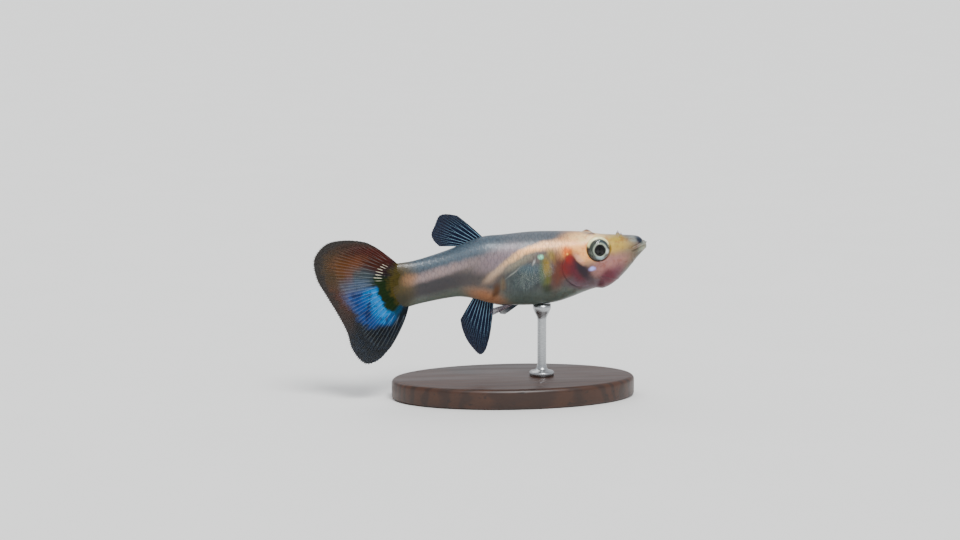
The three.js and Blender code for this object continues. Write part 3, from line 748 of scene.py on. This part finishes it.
def wandering_place(tree, amount, scale, seed):
    """Object coordinates pushed about a little, so that markings have natural edges."""
    place = object_place(tree)
    inputs = {"Vector": place, "Scale": scale, "Detail": 3.0, "W": seed}
    drift = add(tree, "ShaderNodeTexNoise", inputs, noise_dimensions="4D").outputs["Color"]
    centred = vector_of(tree, "SUBTRACT", drift, (0.5, 0.5, 0.5))
    return vector_of(tree, "ADD", place, vector_of(tree, "SCALE", centred, amount * MM))


def painted_over(tree, colour, place, markings):
    """A colour with (at, reach, lean, blur, strength, paint) markings laid on it in turn."""
    for at, reach, lean, blur, strength, tint in markings:
        colour = blend_of(tree, marking(tree, place, at, reach, lean, blur, strength), colour, paint(*tint))
    return colour


# Skin

BACK_PAINT = paint(118, 124, 130)
FLANK_PAINT = paint(136, 126, 122)
LOW_FLANK_PAINT = paint(104, 97, 94)
BELLY_PAINT = paint(128, 134, 126)
BODY_MARKINGS = [
    # at, reach, lean, blur, strength, paint
    ((-3.15, 20.39), (5.6, 1.5), 20, 0.6, 0.85, (92, 110, 122)),
    ((-8.3, 18.9), (4.5, 1.1), 18, 0.6, 0.8, (88, 104, 114)),
    ((-7.8, 15.9), (5.8, 1.3), 13, 0.6, 0.85, (78, 76, 80)),
    ((-6.67, 17.75), (6.2, 0.6), 17, 0.7, 0.9, (166, 150, 148)),
    ((2.14, 19.72), (3.2, 1.2), 25, 0.6, 0.7, (156, 142, 148)),
    ((8.56, 13.92), (6.0, 1.3), 6, 0.5, 0.7, (106, 116, 110)),
    ((5.56, 16.83), (2.8, 2.3), 20, 0.55, 0.85, (74, 90, 92)),
    ((6.2, 18.2), (1.4, 0.7), 0, 0.7, 0.6, (84, 116, 130)),
    ((6.6, 16.9), (1.2, 0.9), 0, 0.7, 0.55, (52, 74, 84)),
    ((4.9, 19.3), (2.3, 0.55), 30, 0.7, 0.7, (164, 158, 140)),
    ((1.9, 18.15), (1.9, 0.42), 42, 0.8, 0.8, (206, 182, 156)),
    ((4.4, 19.95), (1.9, 0.36), 31, 0.8, 0.9, (238, 202, 158)),
    ((4.1, 17.8), (1.1, 0.1), 37, 0.9, 0.3, (206, 206, 196)),
    ((6.8, 19.15), (0.13, 0.4), -25, 0.9, 0.5, (232, 234, 228)),
    ((7.1, 21.05), (2.3, 0.42), 15, 0.7, 0.95, (255, 204, 146)),
    ((10.25, 21.4), (2.5, 0.62), 5, 0.7, 0.85, (240, 196, 148)),
    ((0.9, 17.0), (1.2, 0.6), 42, 0.8, 0.4, (180, 158, 140)),
    ((8.0, 18.0), (0.45, 1.6), 0, 0.8, 0.7, (98, 124, 80)),
    ((9.3, 20.0), (0.5, 1.0), 28, 0.8, 0.75, (170, 148, 70)),
    ((8.65, 18.3), (0.5, 1.4), 8, 0.7, 0.9, (164, 142, 40)),
    ((8.75, 16.6), (0.5, 1.1), -14, 0.7, 0.85, (112, 116, 40)),
    ((8.79, 15.4), (0.8, 0.6), 0, 0.7, 0.8, (52, 66, 28)),
    # painted highlight: a small green-white glint on the flank
    ((7.79, 19.85), (0.3, 0.27), 0, 0.8, 0.95, (172, 250, 216)),
    ((10.22, 17.93), (0.9, 2.4), -6, 0.7, 0.9, (120, 68, 44)),
    ((13.77, 21.0), (3.3, 1.9), 0, 0.5, 0.95, (255, 198, 132)),
    ((15.2, 22.2), (2.9, 0.6), 0, 0.7, 0.8, (250, 226, 178)),
    ((18.18, 21.13), (2.4, 1.2), 0, 0.6, 0.9, (200, 174, 96)),
    ((18.59, 21.85), (1.1, 0.6), 0, 0.8, 0.6, (184, 164, 58)),
    ((20.2, 19.5), (1.8, 1.2), 45, 0.7, 0.7, (138, 128, 104)),
    ((17.47, 18.47), (2.8, 1.3), 20, 0.6, 0.8, (184, 138, 132)),
    ((17.66, 16.46), (2.6, 1.2), 40, 0.6, 0.85, (130, 78, 96)),
    ((13.94, 15.91), (2.4, 0.9), -6, 0.5, 0.85, (112, 88, 100)),
    ((11.44, 20.46), (0.65, 0.8), 0, 0.7, 0.95, (230, 134, 18)),
    ((11.8, 18.7), (1.2, 1.75), -24, 0.45, 0.95, (134, 14, 16)),
    ((11.75, 19.5), (0.5, 0.6), 0, 0.8, 0.7, (170, 34, 10)),
    ((13.07, 17.54), (1.6, 1.0), -50, 0.6, 0.92, (110, 4, 54)),
    ((13.7, 17.9), (1.9, 0.62), -50, 0.6, 0.95, (48, 0, 50)),
    ((17.75, 16.7), (0.9, 1.2), 40, 0.7, 0.9, (114, 8, 58)),
    ((11.48, 20.22), (0.17, 0.15), 0, 0.7, 1.0, (255, 196, 90)),
    # painted highlight: a lavender glint on the gill cover
    ((15.00, 18.02), (0.46, 0.3), 10, 0.6, 0.95, (186, 190, 250)),
    ((13.12, 19.45), (0.9, 0.35), -46, 0.7, 0.7, (242, 198, 170)),
    ((0.5, 14.2), (2.4, 0.9), -20, 0.9, 0.6, (206, 146, 100)),
    ((1.65, 15.24), (0.42, 1.0), -12, 0.85, 0.95, (106, 70, 8)),
    ((2.53, 16.06), (0.35, 1.0), 0, 0.8, 0.55, (134, 112, 76)),
    ((-11.6, 16.4), (1.9, 3.2), 0, 0.7, 0.85, (112, 96, 58)),
    ((-10.5, 16.95), (1.2, 0.65), 12, 0.8, 0.75, (178, 142, 112)),
    ((-13.3, 16.1), (2.3, 3.6), -8, 0.6, 0.95, (92, 80, 30)),
    ((-11.6, 13.9), (1.8, 1.1), 20, 0.7, 0.85, (58, 56, 30)),
    ((21.13, 21.92), (0.55, 0.35), 0, 0.7, 0.7, (158, 166, 158)),
    ((22.15, 21.72), (0.75, 0.5), -25, 0.5, 0.97, (14, 48, 74)),
    ((22.50, 20.8), (0.8, 0.5), 40, 0.7, 0.8, (170, 174, 156)),
    ((19.42, 23.1), (0.4, 0.5), 0, 0.5, 0.9, (236, 238, 242)),
    ((15.15, 23.0), (1.0, 0.3), 0, 0.7, 0.7, (70, 90, 112)),
]


def mottled(tree, colour, along):
    """Fine mottling all over, and larger warm and bright blotches on the head."""
    mottle = noise_of(tree, 2200, 5, 0.65, seed=8)
    light = range_of(tree, mottle, 0.5, 0.75, 0, 0.3)
    colour = blend_of(tree, light, colour, paint(238, 226, 214), "SOFT_LIGHT")
    dark = range_of(tree, mottle, 0.5, 0.25, 0, 0.35)
    colour = blend_of(tree, dark, colour, paint(84, 84, 92), "MULTIPLY")
    blotch = noise_of(tree, 1300, 4, 0.6, seed=9)
    on_head = range_of(tree, along, 0.42, 0.28)
    warm = times(tree, range_of(tree, blotch, 0.5, 0.36), on_head)
    colour = blend_of(tree, times(tree, warm, 0.45), colour, paint(226, 172, 150), "MULTIPLY")
    bright = times(tree, range_of(tree, blotch, 0.54, 0.68), on_head)
    colour = blend_of(tree, times(tree, bright, 0.5), colour, paint(236, 226, 206), "SOFT_LIGHT")
    return colour, mottle


def scaled(tree, colour, up):
    """A darker edge and a tone of its own for each scale, and dark dots over the back."""
    edge = times(tree, value_of(tree, "edge"), range_of(tree, up, 0.35, 0.8, 0.15, 0.45))
    colour = blend_of(tree, edge, colour, paint(52, 58, 70))
    tone = range_of(tree, value_of(tree, "tone"), 0.0, 1.0, 0.0, 0.22)
    colour = blend_of(tree, tone, colour, paint(214, 216, 222), "SOFT_LIGHT")
    dots = range_of(tree, noise_of(tree, 9000, 1, 0.4, seed=11), 0.7, 0.74, 0, 0.4)
    dots = times(tree, dots, range_of(tree, up, 0.45, 0.75))
    return blend_of(tree, dots, colour, paint(46, 48, 56))


def skin_colour(tree, along, up):
    """Pale belly to grey back, the markings with two painted highlights among them, a streaked belly window,
    mottling and scales.
    """
    place = wandering_place(tree, 0.5, 900, seed=3)
    colour = blend_of(tree, range_of(tree, up, 0.08, 0.3), BELLY_PAINT, LOW_FLANK_PAINT)
    colour = blend_of(tree, range_of(tree, up, 0.4, 0.62), colour, FLANK_PAINT)
    colour = blend_of(tree, range_of(tree, up, 0.66, 0.95), colour, BACK_PAINT)
    colour = painted_over(tree, colour, place, BODY_MARKINGS)
    stretched = vector_of(tree, "MULTIPLY", object_place(tree), (1, 0.35, 0.16))
    streaks = range_of(tree, noise_of(tree, 3200, 4, 0.6, seed=5, place=stretched), 0.42, 0.66)
    belly_window = marking(tree, place, (5.6, 16.4), (3.0, 2.4), 20, 0.5, 0.45)
    colour = blend_of(tree, times(tree, streaks, belly_window), colour, paint(122, 134, 128))
    colour, mottle = mottled(tree, colour, along)
    return scaled(tree, colour, up), mottle


def make_skin_material():
    material, tree, shader = new_material("guppy skin")
    along, up = value_of(tree, "along"), value_of(tree, "up")
    colour, mottle = skin_colour(tree, along, up)
    silver = range_of(tree, along, 0.25, 0.4, 0.04, 0.2)
    grain = noise_of(tree, 6500, 3, 0.6, seed=2)
    feed(tree, shader, {
        "Base Color": colour,
        "Metallic": times(tree, silver, range_of(tree, up, 0.95, 0.7, 0.55, 1)),
        "Roughness": range_of(tree, mottle, 0.3, 0.7, 0.3, 0.46),
        "Normal": raised_of(tree, grain, 0.25, 0.02),
        "Subsurface Weight": 0.25,
        "Subsurface Radius": (1.0, 0.5, 0.35),
        "Subsurface Scale": 0.7 * MM,
        "Specular IOR Level": 0.3,
        "Coat Weight": 0.12,
        "Coat Roughness": 0.12,
    })
    return material


# Fins

TAIL_MARKINGS = [
    # at (across, out) in tenths of the fin, reach, lean, blur, strength, paint
    ((2.0, 5.4), (2.0, 4.4), 0, 0.5, 0.95, (88, 46, 18)),
    ((0.5, 4.4), (0.9, 4.0), 0, 0.6, 0.85, (92, 38, 18)),
    ((1.6, 8.6), (1.9, 1.3), 0, 0.6, 0.7, (72, 52, 30)),
    ((4.2, 7.4), (1.9, 2.3), 0, 0.6, 0.95, (96, 68, 4)),
    ((5.6, 8.7), (0.9, 1.3), 0, 0.6, 0.9, (90, 50, 12)),
    ((6.5, 9.0), (0.7, 1.2), 0, 0.7, 0.8, (66, 48, 36)),
    ((3.4, 8.2), (0.9, 1.0), 0, 0.8, 0.6, (70, 60, 6)),
    ((3.9, 3.6), (1.0, 2.0), 0, 0.6, 0.85, (78, 92, 98)),
    ((4.8, 4.6), (0.7, 2.2), 0, 0.7, 0.75, (96, 112, 134)),
    ((5.5, 6.4), (0.5, 1.3), 0, 0.8, 0.6, (108, 114, 142)),
    ((2.6, 4.7), (0.9, 0.9), 0, 0.9, 0.22, (166, 116, 78)),
    ((3.2, 6.4), (0.6, 1.4), 0, 0.9, 0.5, (126, 82, 30)),
    ((3.9, 5.5), (0.5, 0.7), 0, 0.8, 0.35, (132, 96, 88)),
]


def tail_pattern(tree, colour, ray):
    """The tail fin's rusty fan, olive root and bright blue, and the white roots of its upper rays."""
    across, out = value_of(tree, "across"), value_of(tree, "out")
    drift = noise_of(tree, 1100, 3, 0.6, seed=27)
    out = math_of(tree, "ADD", out, range_of(tree, drift, 0.3, 0.7, -0.04, 0.04))
    spot = add(tree, "ShaderNodeCombineXYZ", {0: across, 1: 0.0, 2: out}).outputs[0]
    colour = painted_over(tree, colour, vector_of(tree, "SCALE", spot, 10 * MM), TAIL_MARKINGS)

    def over(share, tint):
        return blend_of(tree, share, colour, paint(*tint))

    def within(value, *places):
        """How far a value is inside every (start, end) place."""
        share = range_of(tree, value, *places[0])
        for place in places[1:]:
            share = times(tree, share, range_of(tree, value, *place))
        return share

    margin = times(tree, within(out, (0.84, 0.94)), within(across, (0.72, 0.5)))
    colour = over(times(tree, margin, 0.85), (46, 40, 34))
    drawn_in = math_of(tree, "ADD", out, range_of(tree, across, 0.66, 0.98, 0, 0.42))
    blue = times(tree, within(across, (0.49, 0.56), (0.95, 0.82)), within(drawn_in, (0.8, 0.62)))
    colour = over(blue, (0, 84, 140))
    colour = over(times(tree, blue, within(out, (0.55, 0.25))), (0, 140, 194))
    between = range_of(tree, noise_of(tree, 900, 2, 0.5, seed=29), 0.5, 0.66, 0, 0.85)
    colour = over(times(tree, blue, between), (0, 44, 96))
    olive = times(tree, within(out, (0.25, 0.17)), within(across, (0.3, 0.44), (0.98, 0.84)))
    colour = over(olive, (32, 60, 0))
    root = times(tree, within(out, (0.06, -0.03)), within(across, (1.0, 0.8)))
    colour = over(root, (94, 84, 34))
    upper_rays = times(tree, within(across, (0.46, 0.4), (0.1, 0.18)), ray)
    return over(times(tree, within(out, (0.2, 0.14), (0.08, 0.13)), upper_rays), (255, 250, 230))


def make_fin_material(
    name, base, ray_paint, ray_share, clear, ray_cover=0.25, ray_from=-0.2, ray_blend="MIX", pattern=None,
):
    """A thin fin. ray_share and clear are how pale its rays and how clear its web are, at root and tip."""
    material, tree, shader = new_material(name)
    ray, out = value_of(tree, "ray"), value_of(tree, "out")
    line = range_of(tree, ray, 0.5, 0.95)
    streak = noise_of(tree, 2600, 4, 0.6, seed=23)
    colour = blend_of(tree, range_of(tree, streak, 0.42, 0.72, 0, 0.5), paint(*base), paint(44, 66, 88))
    if pattern:
        colour = pattern(tree, colour, line)
    dark = range_of(tree, streak, 0.5, 0.3, 0, 0.5)
    colour = blend_of(tree, dark, colour, paint(120, 120, 120), "MULTIPLY")
    light = range_of(tree, streak, 0.6, 0.75, 0, 0.3)
    colour = blend_of(tree, light, colour, paint(220, 220, 220), "SOFT_LIGHT")
    pale = times(tree, line, range_of(tree, out, 0.1, 0.95, *ray_share))
    pale = times(tree, pale, range_of(tree, out, ray_from, ray_from + 0.1))
    web = math_of(tree, "SUBTRACT", 1.0, range_of(tree, out, 0.3, 1.0, *clear))
    cover = math_of(tree, "ADD", web, times(tree, line, ray_cover))
    feed(tree, shader, {
        "Base Color": blend_of(tree, pale, colour, paint(*ray_paint), ray_blend),
        "Alpha": math_of(tree, "MINIMUM", cover, 1.0),
        "Roughness": 0.45,
        "Specular IOR Level": 0.12,
    })
    return material


def make_fins():
    tail_paint = make_fin_material(
        "tail fin", (14, 28, 38), (106, 110, 110), (0.9, 0.4), (0.0, 0.15),
        ray_from=0.16, ray_blend="ADD", pattern=tail_pattern,
    )
    dark_paint = make_fin_material("dark fin", (0, 28, 64), (160, 190, 206), (0.95, 0.08), (0.0, 0.12))
    clear_paint = make_fin_material(
        "clear fin", (150, 156, 156), (206, 206, 200), (0.9, 0.6), (0.97, 0.97), ray_cover=0.2,
    )
    pelvic_paints = {
        "right": make_fin_material("pale fin", (66, 72, 92), (222, 200, 198), (0.9, 0.4), (0.2, 0.5)),
        "left": make_fin_material("blue pelvic fin", (10, 44, 74), (120, 150, 170), (0.8, 0.2), (0.1, 0.4)),
    }
    tail = make_fin_mesh("tail_fin_sheet", CAUDAL, 22, 160, (0.34, 0.66), sink=1.3, fray=0.022, flare=0.75)
    finish_piece(tail, tail_paint, ["caudal_fin"])
    dorsal = make_fin_mesh("dorsal_fin_sheet", DORSAL, 8, 90, (0.5,))
    finish_piece(dorsal, dark_paint, ["dorsal_fin"])
    anal = make_fin_mesh("anal_fin_sheet", ANAL, 9, 110, (0.55,))
    finish_piece(anal, dark_paint, ["anal_fin"])
    for name, side in SIDES.items():
        fan = paired_fan(side, **PECTORAL)
        thin = {"sink": 0.5, "membrane": 0.05, "rise": 0.05}
        pectoral = make_fin_mesh(f"pectoral_fin_sheet_{name}", fan, 12, 60, (0.5,), **thin)
        finish_piece(pectoral, clear_paint, [f"pectoral_fin_{name}"])
        fan = paired_fan(side, **PELVIC[name])
        thin = {"sink": 0.5, "membrane": 0.07, "rise": 0.06}
        pelvic = make_fin_mesh(f"pelvic_fin_sheet_{name}", fan, 6, 50, (0.5,), **thin)
        finish_piece(pelvic, pelvic_paints[name], [f"pelvic_fin_{name}"])


# Eyes: a banded iris, a domed pupil and a clear cornea

EYE_SIDES = 96
IRIS_PROFILE = [
    (0, -0.9), (0.9, -0.8), (1.42, -0.45), (1.68, -0.05), (1.71, 0.08), (1.67, 0.2), (1.54, 0.34), (1.2, 0.5),
    (0.95, 0.58), (0.84, 0.57), (0.76, 0.5), (0, 0.4),
]
IRIS_BANDS = [
    # share of the eye's radius, paint
    (0.0, (2, 3, 4)), (0.455, (2, 3, 4)), (0.475, (150, 160, 142)), (0.54, (206, 214, 196)),
    (0.59, (150, 164, 146)), (0.64, (44, 58, 40)), (0.74, (66, 82, 58)), (0.82, (52, 66, 56)),
    (0.88, (28, 38, 38)), (1.0, (86, 88, 74)),
]
PUPIL = {"radius": 0.73, "height": 0.42, "dome": 0.5, "sides": 64}
PUPIL_SHIFT = np.array([0.16, 0, -0.24])  # the pupil sits a little forward and low in the iris
SHIFT_REACH = 1.5  # radius beyond which the iris isn't shifted
CORNEA = {"radius": 1.6, "foot": 0.22, "top": 1.06, "thin": 0.965, "wall": 0.05}


def rounded_profile(rows, steps=48):
    """More rows along a smooth line through the given (radius, height) rows."""
    rows = np.array(rows, float)
    travel = np.concatenate([[0], np.cumsum(np.linalg.norm(np.diff(rows, axis=0), axis=1))])
    places = np.linspace(0, travel[-1], steps)
    return np.stack([np.maximum(curve_through(list(zip(travel, rows[:, k])))(places), 0) for k in (0, 1)], -1)


def iris_bands(tree, ring):
    """The colours from the middle of the eye outwards."""
    bands = add(tree, "ShaderNodeValToRGB", {"Fac": ring})
    ramp = bands.color_ramp
    while len(ramp.elements) < len(IRIS_BANDS):
        ramp.elements.new(0.5)
    for element, (position, tint) in zip(ramp.elements, IRIS_BANDS):
        element.position = position
        element.color = paint(*tint)
    return bands.outputs["Color"]


def make_iris_material():
    """Dark green-grey bands, a bright ring round the pupil, a painted highlight as a pale rim over the top,
    and painted glints low and beside the pupil.
    """
    material, tree, shader = new_material("iris")
    ring = value_of(tree, "ring")
    flecks = noise_of(tree, 5200, 4, 0.65, seed=31)
    colour = iris_bands(tree, math_of(tree, "ADD", ring, range_of(tree, flecks, 0.3, 0.7, -0.015, 0.015)))

    def light(start, end, at, *shape):
        """A marking at (x, z) from the eye's middle that sets in from start to end of its radius. It lays the
        painted highlight, the painted glints and the slate patch.
        """
        patch = marking(tree, object_place(tree), (EYE["x"] + at[0], EYE["z"] + at[1]), *shape)
        return times(tree, range_of(tree, ring, start, end), patch)

    # painted highlight: a pale yellow crescent over the top of the iris, where light falls from above
    painted_top_highlight = light(0.8, 0.87, (-0.25, 1.15), (1.9, 1.15), -10, 0.2)
    colour = blend_of(tree, painted_top_highlight, colour, paint(255, 252, 202))
    slate = light(0.6, 0.64, (0.7, 0.9), (1.0, 0.7), 30, 0.5, 0.7)
    slate = times(tree, slate, range_of(tree, ring, 0.84, 0.8))
    colour = blend_of(tree, slate, colour, paint(70, 92, 98))
    # painted reflection: a pale blue-grey glint low in the iris
    painted_low_glint = light(0.5, 0.6, (0.15, -1.05), (0.55, 0.3), -10, 0.5, 0.9)
    colour = blend_of(tree, painted_low_glint, colour, paint(176, 204, 208))
    # painted reflection: a white glint beside the pupil
    painted_side_glint = light(0.5, 0.56, (1.0, -0.1), (0.3, 0.5), 35, 0.5, 0.9)
    metal = range_of(tree, ring, 0.46, 0.5, 0.0, 0.3)
    feed(tree, shader, {
        "Base Color": blend_of(tree, painted_side_glint, colour, paint(240, 246, 240)),
        "Metallic": times(tree, metal, math_of(tree, "SUBTRACT", 1.0, painted_top_highlight)),
        "Normal": raised_of(tree, flecks, 0.3, 0.03),
        "Roughness": 0.28,
        "Coat Weight": 0.6,
        "Coat Roughness": 0.05,
    })
    return material


def make_pupil_material():
    material, tree, shader = new_material("pupil")
    depth = noise_of(tree, 1500, 2, 0.5, seed=33)
    colour = blend_of(tree, depth, paint(0, 1, 2), paint(6, 9, 12))
    feed(tree, shader, {"Base Color": colour, "Roughness": 0.3, "Specular IOR Level": 0.0})
    return material


def make_cornea_material():
    material, tree, shader = new_material("cornea")
    wet = noise_of(tree, 900, 2, 0.5, seed=35)
    feed(tree, shader, {
        "Roughness": range_of(tree, wet, 0.3, 0.7, 0.01, 0.05),
        "Base Color": (1, 1, 1, 1),
        "Transmission Weight": 1,
        "IOR": 1.25,
    })
    return material


def make_eyes():
    iris_paint = make_iris_material()
    pupil_paint = make_pupil_material()
    cornea_paint = make_cornea_material()
    profile = rounded_profile(IRIS_PROFILE)
    inward = np.clip(1 - (profile[:, :1] / SHIFT_REACH) ** 2, 0, 1)
    ring = {"ring": profile[:, 0] / EYE["radius"]}
    turn = np.linspace(0, np.pi, 28)
    ball = np.stack([PUPIL["radius"] * np.sin(turn), PUPIL["height"] - PUPIL["dome"] * np.cos(turn)], -1)
    pupil_shift = 0.78 * PUPIL_SHIFT + 0 * ball[:, :1]
    turn = np.linspace(0, np.pi / 2, 24)
    rise = CORNEA["top"] - CORNEA["foot"]
    dome = np.stack([CORNEA["radius"] * np.cos(turn), CORNEA["foot"] + rise * np.sin(turn)], -1)
    shell = np.concatenate([dome, (dome * (CORNEA["thin"], 1) - (0, CORNEA["wall"]))[::-1]])
    shell = np.maximum(shell, 0)[:-1]
    for name, side in SIDES.items():
        placed = {"axis": eye_axis(side), "at": (EYE["x"], side * EYE["y"], EYE["z"])}
        iris = lathe(f"iris_{name}", profile, EYE_SIDES, values=ring, shift=inward * PUPIL_SHIFT, **placed)
        finish_piece(iris, iris_paint, [f"eye_{name}"])
        pupil = lathe(f"pupil_{name}", ball, PUPIL["sides"], shift=pupil_shift, **placed)
        finish_piece(pupil, pupil_paint)
        cornea = lathe(f"cornea_{name}", shell, EYE_SIDES, **placed)
        finish_piece(cornea, cornea_paint)


# Stand

BASE_SIDES = 160
BASE_ROUND = 0.6
ROD_SIDES = 64
ROD_SINK = 0.05


def make_wood_material():
    material, tree, shader = new_material("walnut")
    place = vector_of(tree, "MULTIPLY", object_place(tree), (0.12, 1, 0.6))
    figure = noise_of(tree, 420, 5, 0.6, seed=41, place=place)
    waves = {"Vector": place, "Scale": 260.0, "Distortion": 7.0, "Detail": 4.0, "Detail Scale": 1.6}
    lines = add(tree, "ShaderNodeTexWave", waves, bands_direction="Y").outputs["Fac"]
    pores = range_of(tree, noise_of(tree, 3600, 2, 0.5, seed=43, place=place), 0.6, 0.7)
    colour = blend_of(tree, figure, paint(66, 42, 28), paint(104, 70, 46))
    colour = blend_of(tree, range_of(tree, lines, 0.3, 1.0, 0, 0.55), colour, paint(46, 28, 18))
    feed(tree, shader, {
        "Base Color": blend_of(tree, times(tree, pores, 0.6), colour, paint(34, 20, 13)),
        "Roughness": range_of(tree, figure, 0.3, 0.7, 0.34, 0.46),
        "Normal": raised_of(tree, pores, 0.25, -0.05),
    })
    return material


def make_steel_material():
    material, tree, shader = new_material("brushed steel")
    place = vector_of(tree, "MULTIPLY", object_place(tree), (0.1, 0.1, 1))
    brushing = noise_of(tree, 16000, 3, 0.6, seed=51, place=place)
    bright = range_of(tree, brushing, 0.3, 0.7)
    feed(tree, shader, {
        "Base Color": blend_of(tree, bright, paint(176, 178, 180), paint(204, 206, 208)),
        "Roughness": range_of(tree, brushing, 0.3, 0.7, 0.22, 0.38),
        "Metallic": 1,
    })
    return material


def make_base():
    """An oval board with a rounded upper edge."""
    low, high = (np.array(corner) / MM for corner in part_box("stand_base"))
    middle, half = (low + high) / 2, (high - low) / 2
    turn = np.linspace(0, np.pi / 2, 9)
    inset = BASE_ROUND * (1 - np.cos(turn))
    level = high[2] - BASE_ROUND + BASE_ROUND * np.sin(turn)
    angle = 2 * np.pi * np.arange(BASE_SIDES) / BASE_SIDES
    rings = []
    for i, z in [(BASE_ROUND * 0.6, 0), (0, BASE_ROUND * 0.6), *zip(inset, level)]:
        x = middle[0] + (half[0] - i) * np.cos(angle)
        y = middle[1] + (half[1] - i) * np.sin(angle)
        rings.append(np.stack([x, y, np.full(BASE_SIDES, z)], -1))
    faces, _ = grid_faces(len(rings), BASE_SIDES, wrap=True)
    base = make_mesh("stand_base_board", np.array(rings), faces.tolist() + end_caps(len(rings), BASE_SIDES))
    finish_piece(base, make_wood_material(), ["stand_base"])


def make_rod():
    """A turned rod with a flared foot, and a cup under the belly."""
    low, high = (np.array(corner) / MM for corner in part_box("stand_rod"))
    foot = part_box("stand_base")[1][2] / MM - ROD_SINK
    top = high[2] - 0.1
    rows = [
        (0, foot), (1.7, foot), (1.7, foot + 0.55), (1.6, foot + 0.68), (0.95, foot + 0.85),
        (0.7, foot + 1.15), (0.62, foot + 1.7), (0.62, top - 2.2), (0.7, top - 1.8), (1.05, top - 1.1),
        (1.25, top - 0.6), (1.25, top), (0, top),
    ]
    rod = lathe("stand_rod_turned", rows, ROD_SIDES, at=((low[0] + high[0]) / 2, 0, 0))
    finish_piece(rod, make_steel_material(), ["stand_rod"])


# Floor and light


def make_floor():
    half = 6.0
    corners = [(-half, -half, 0), (half, -half, 0), (half, half, 0), (-half, half, 0)]
    mesh = bpy.data.meshes.new("floor")
    mesh.from_pydata(corners, [], [(0, 1, 2, 3)])
    floor = bpy.data.objects.new("floor", mesh)
    bpy.context.scene.collection.objects.link(floor)
    material, tree, shader = new_material("pale floor")
    paper = noise_of(tree, 60, 4, 0.5, seed=61)
    colour = blend_of(tree, paper, paint(240, 240, 238), paint(244, 244, 242))
    feed(tree, shader, {"Base Color": colour, "Roughness": 0.7})
    floor.data.materials.append(material)


def make_sun(name, place, strength, spread):
    """A broad, even studio light that shines from a place towards the fish."""
    lamp = bpy.data.lights.new(name, "SUN")
    lamp.energy = strength
    lamp.angle = math.radians(spread)
    light = bpy.data.objects.new(name, lamp)
    light.rotation_euler = (Vector(place) - Vector(CAMERA_AIM)).to_track_quat("Z", "Y").to_euler()
    bpy.context.scene.collection.objects.link(light)


def make_lights():
    make_sun("key light", (0.1, -0.55, 0.75), 3.3, 24)
    make_sun("rim light", (-0.3, 0.5, 0.7), 0.6, 40)
    world = bpy.data.worlds.new("studio")
    world.use_nodes = True
    tree = world.node_tree
    feed(tree, tree.nodes["Background"], {"Color": (0.94, 0.96, 1, 1), "Strength": 0.85})
    bpy.context.scene.world = world


FLESH_NODES = ["head", "lower_jaw", "trunk", "tail_stem", "gill_cover_right", "gill_cover_left"]

finish_piece(make_skin_mesh(), make_skin_material(), FLESH_NODES)
make_eyes()
make_fins()
make_base()
make_rod()
make_floor()
make_lights()
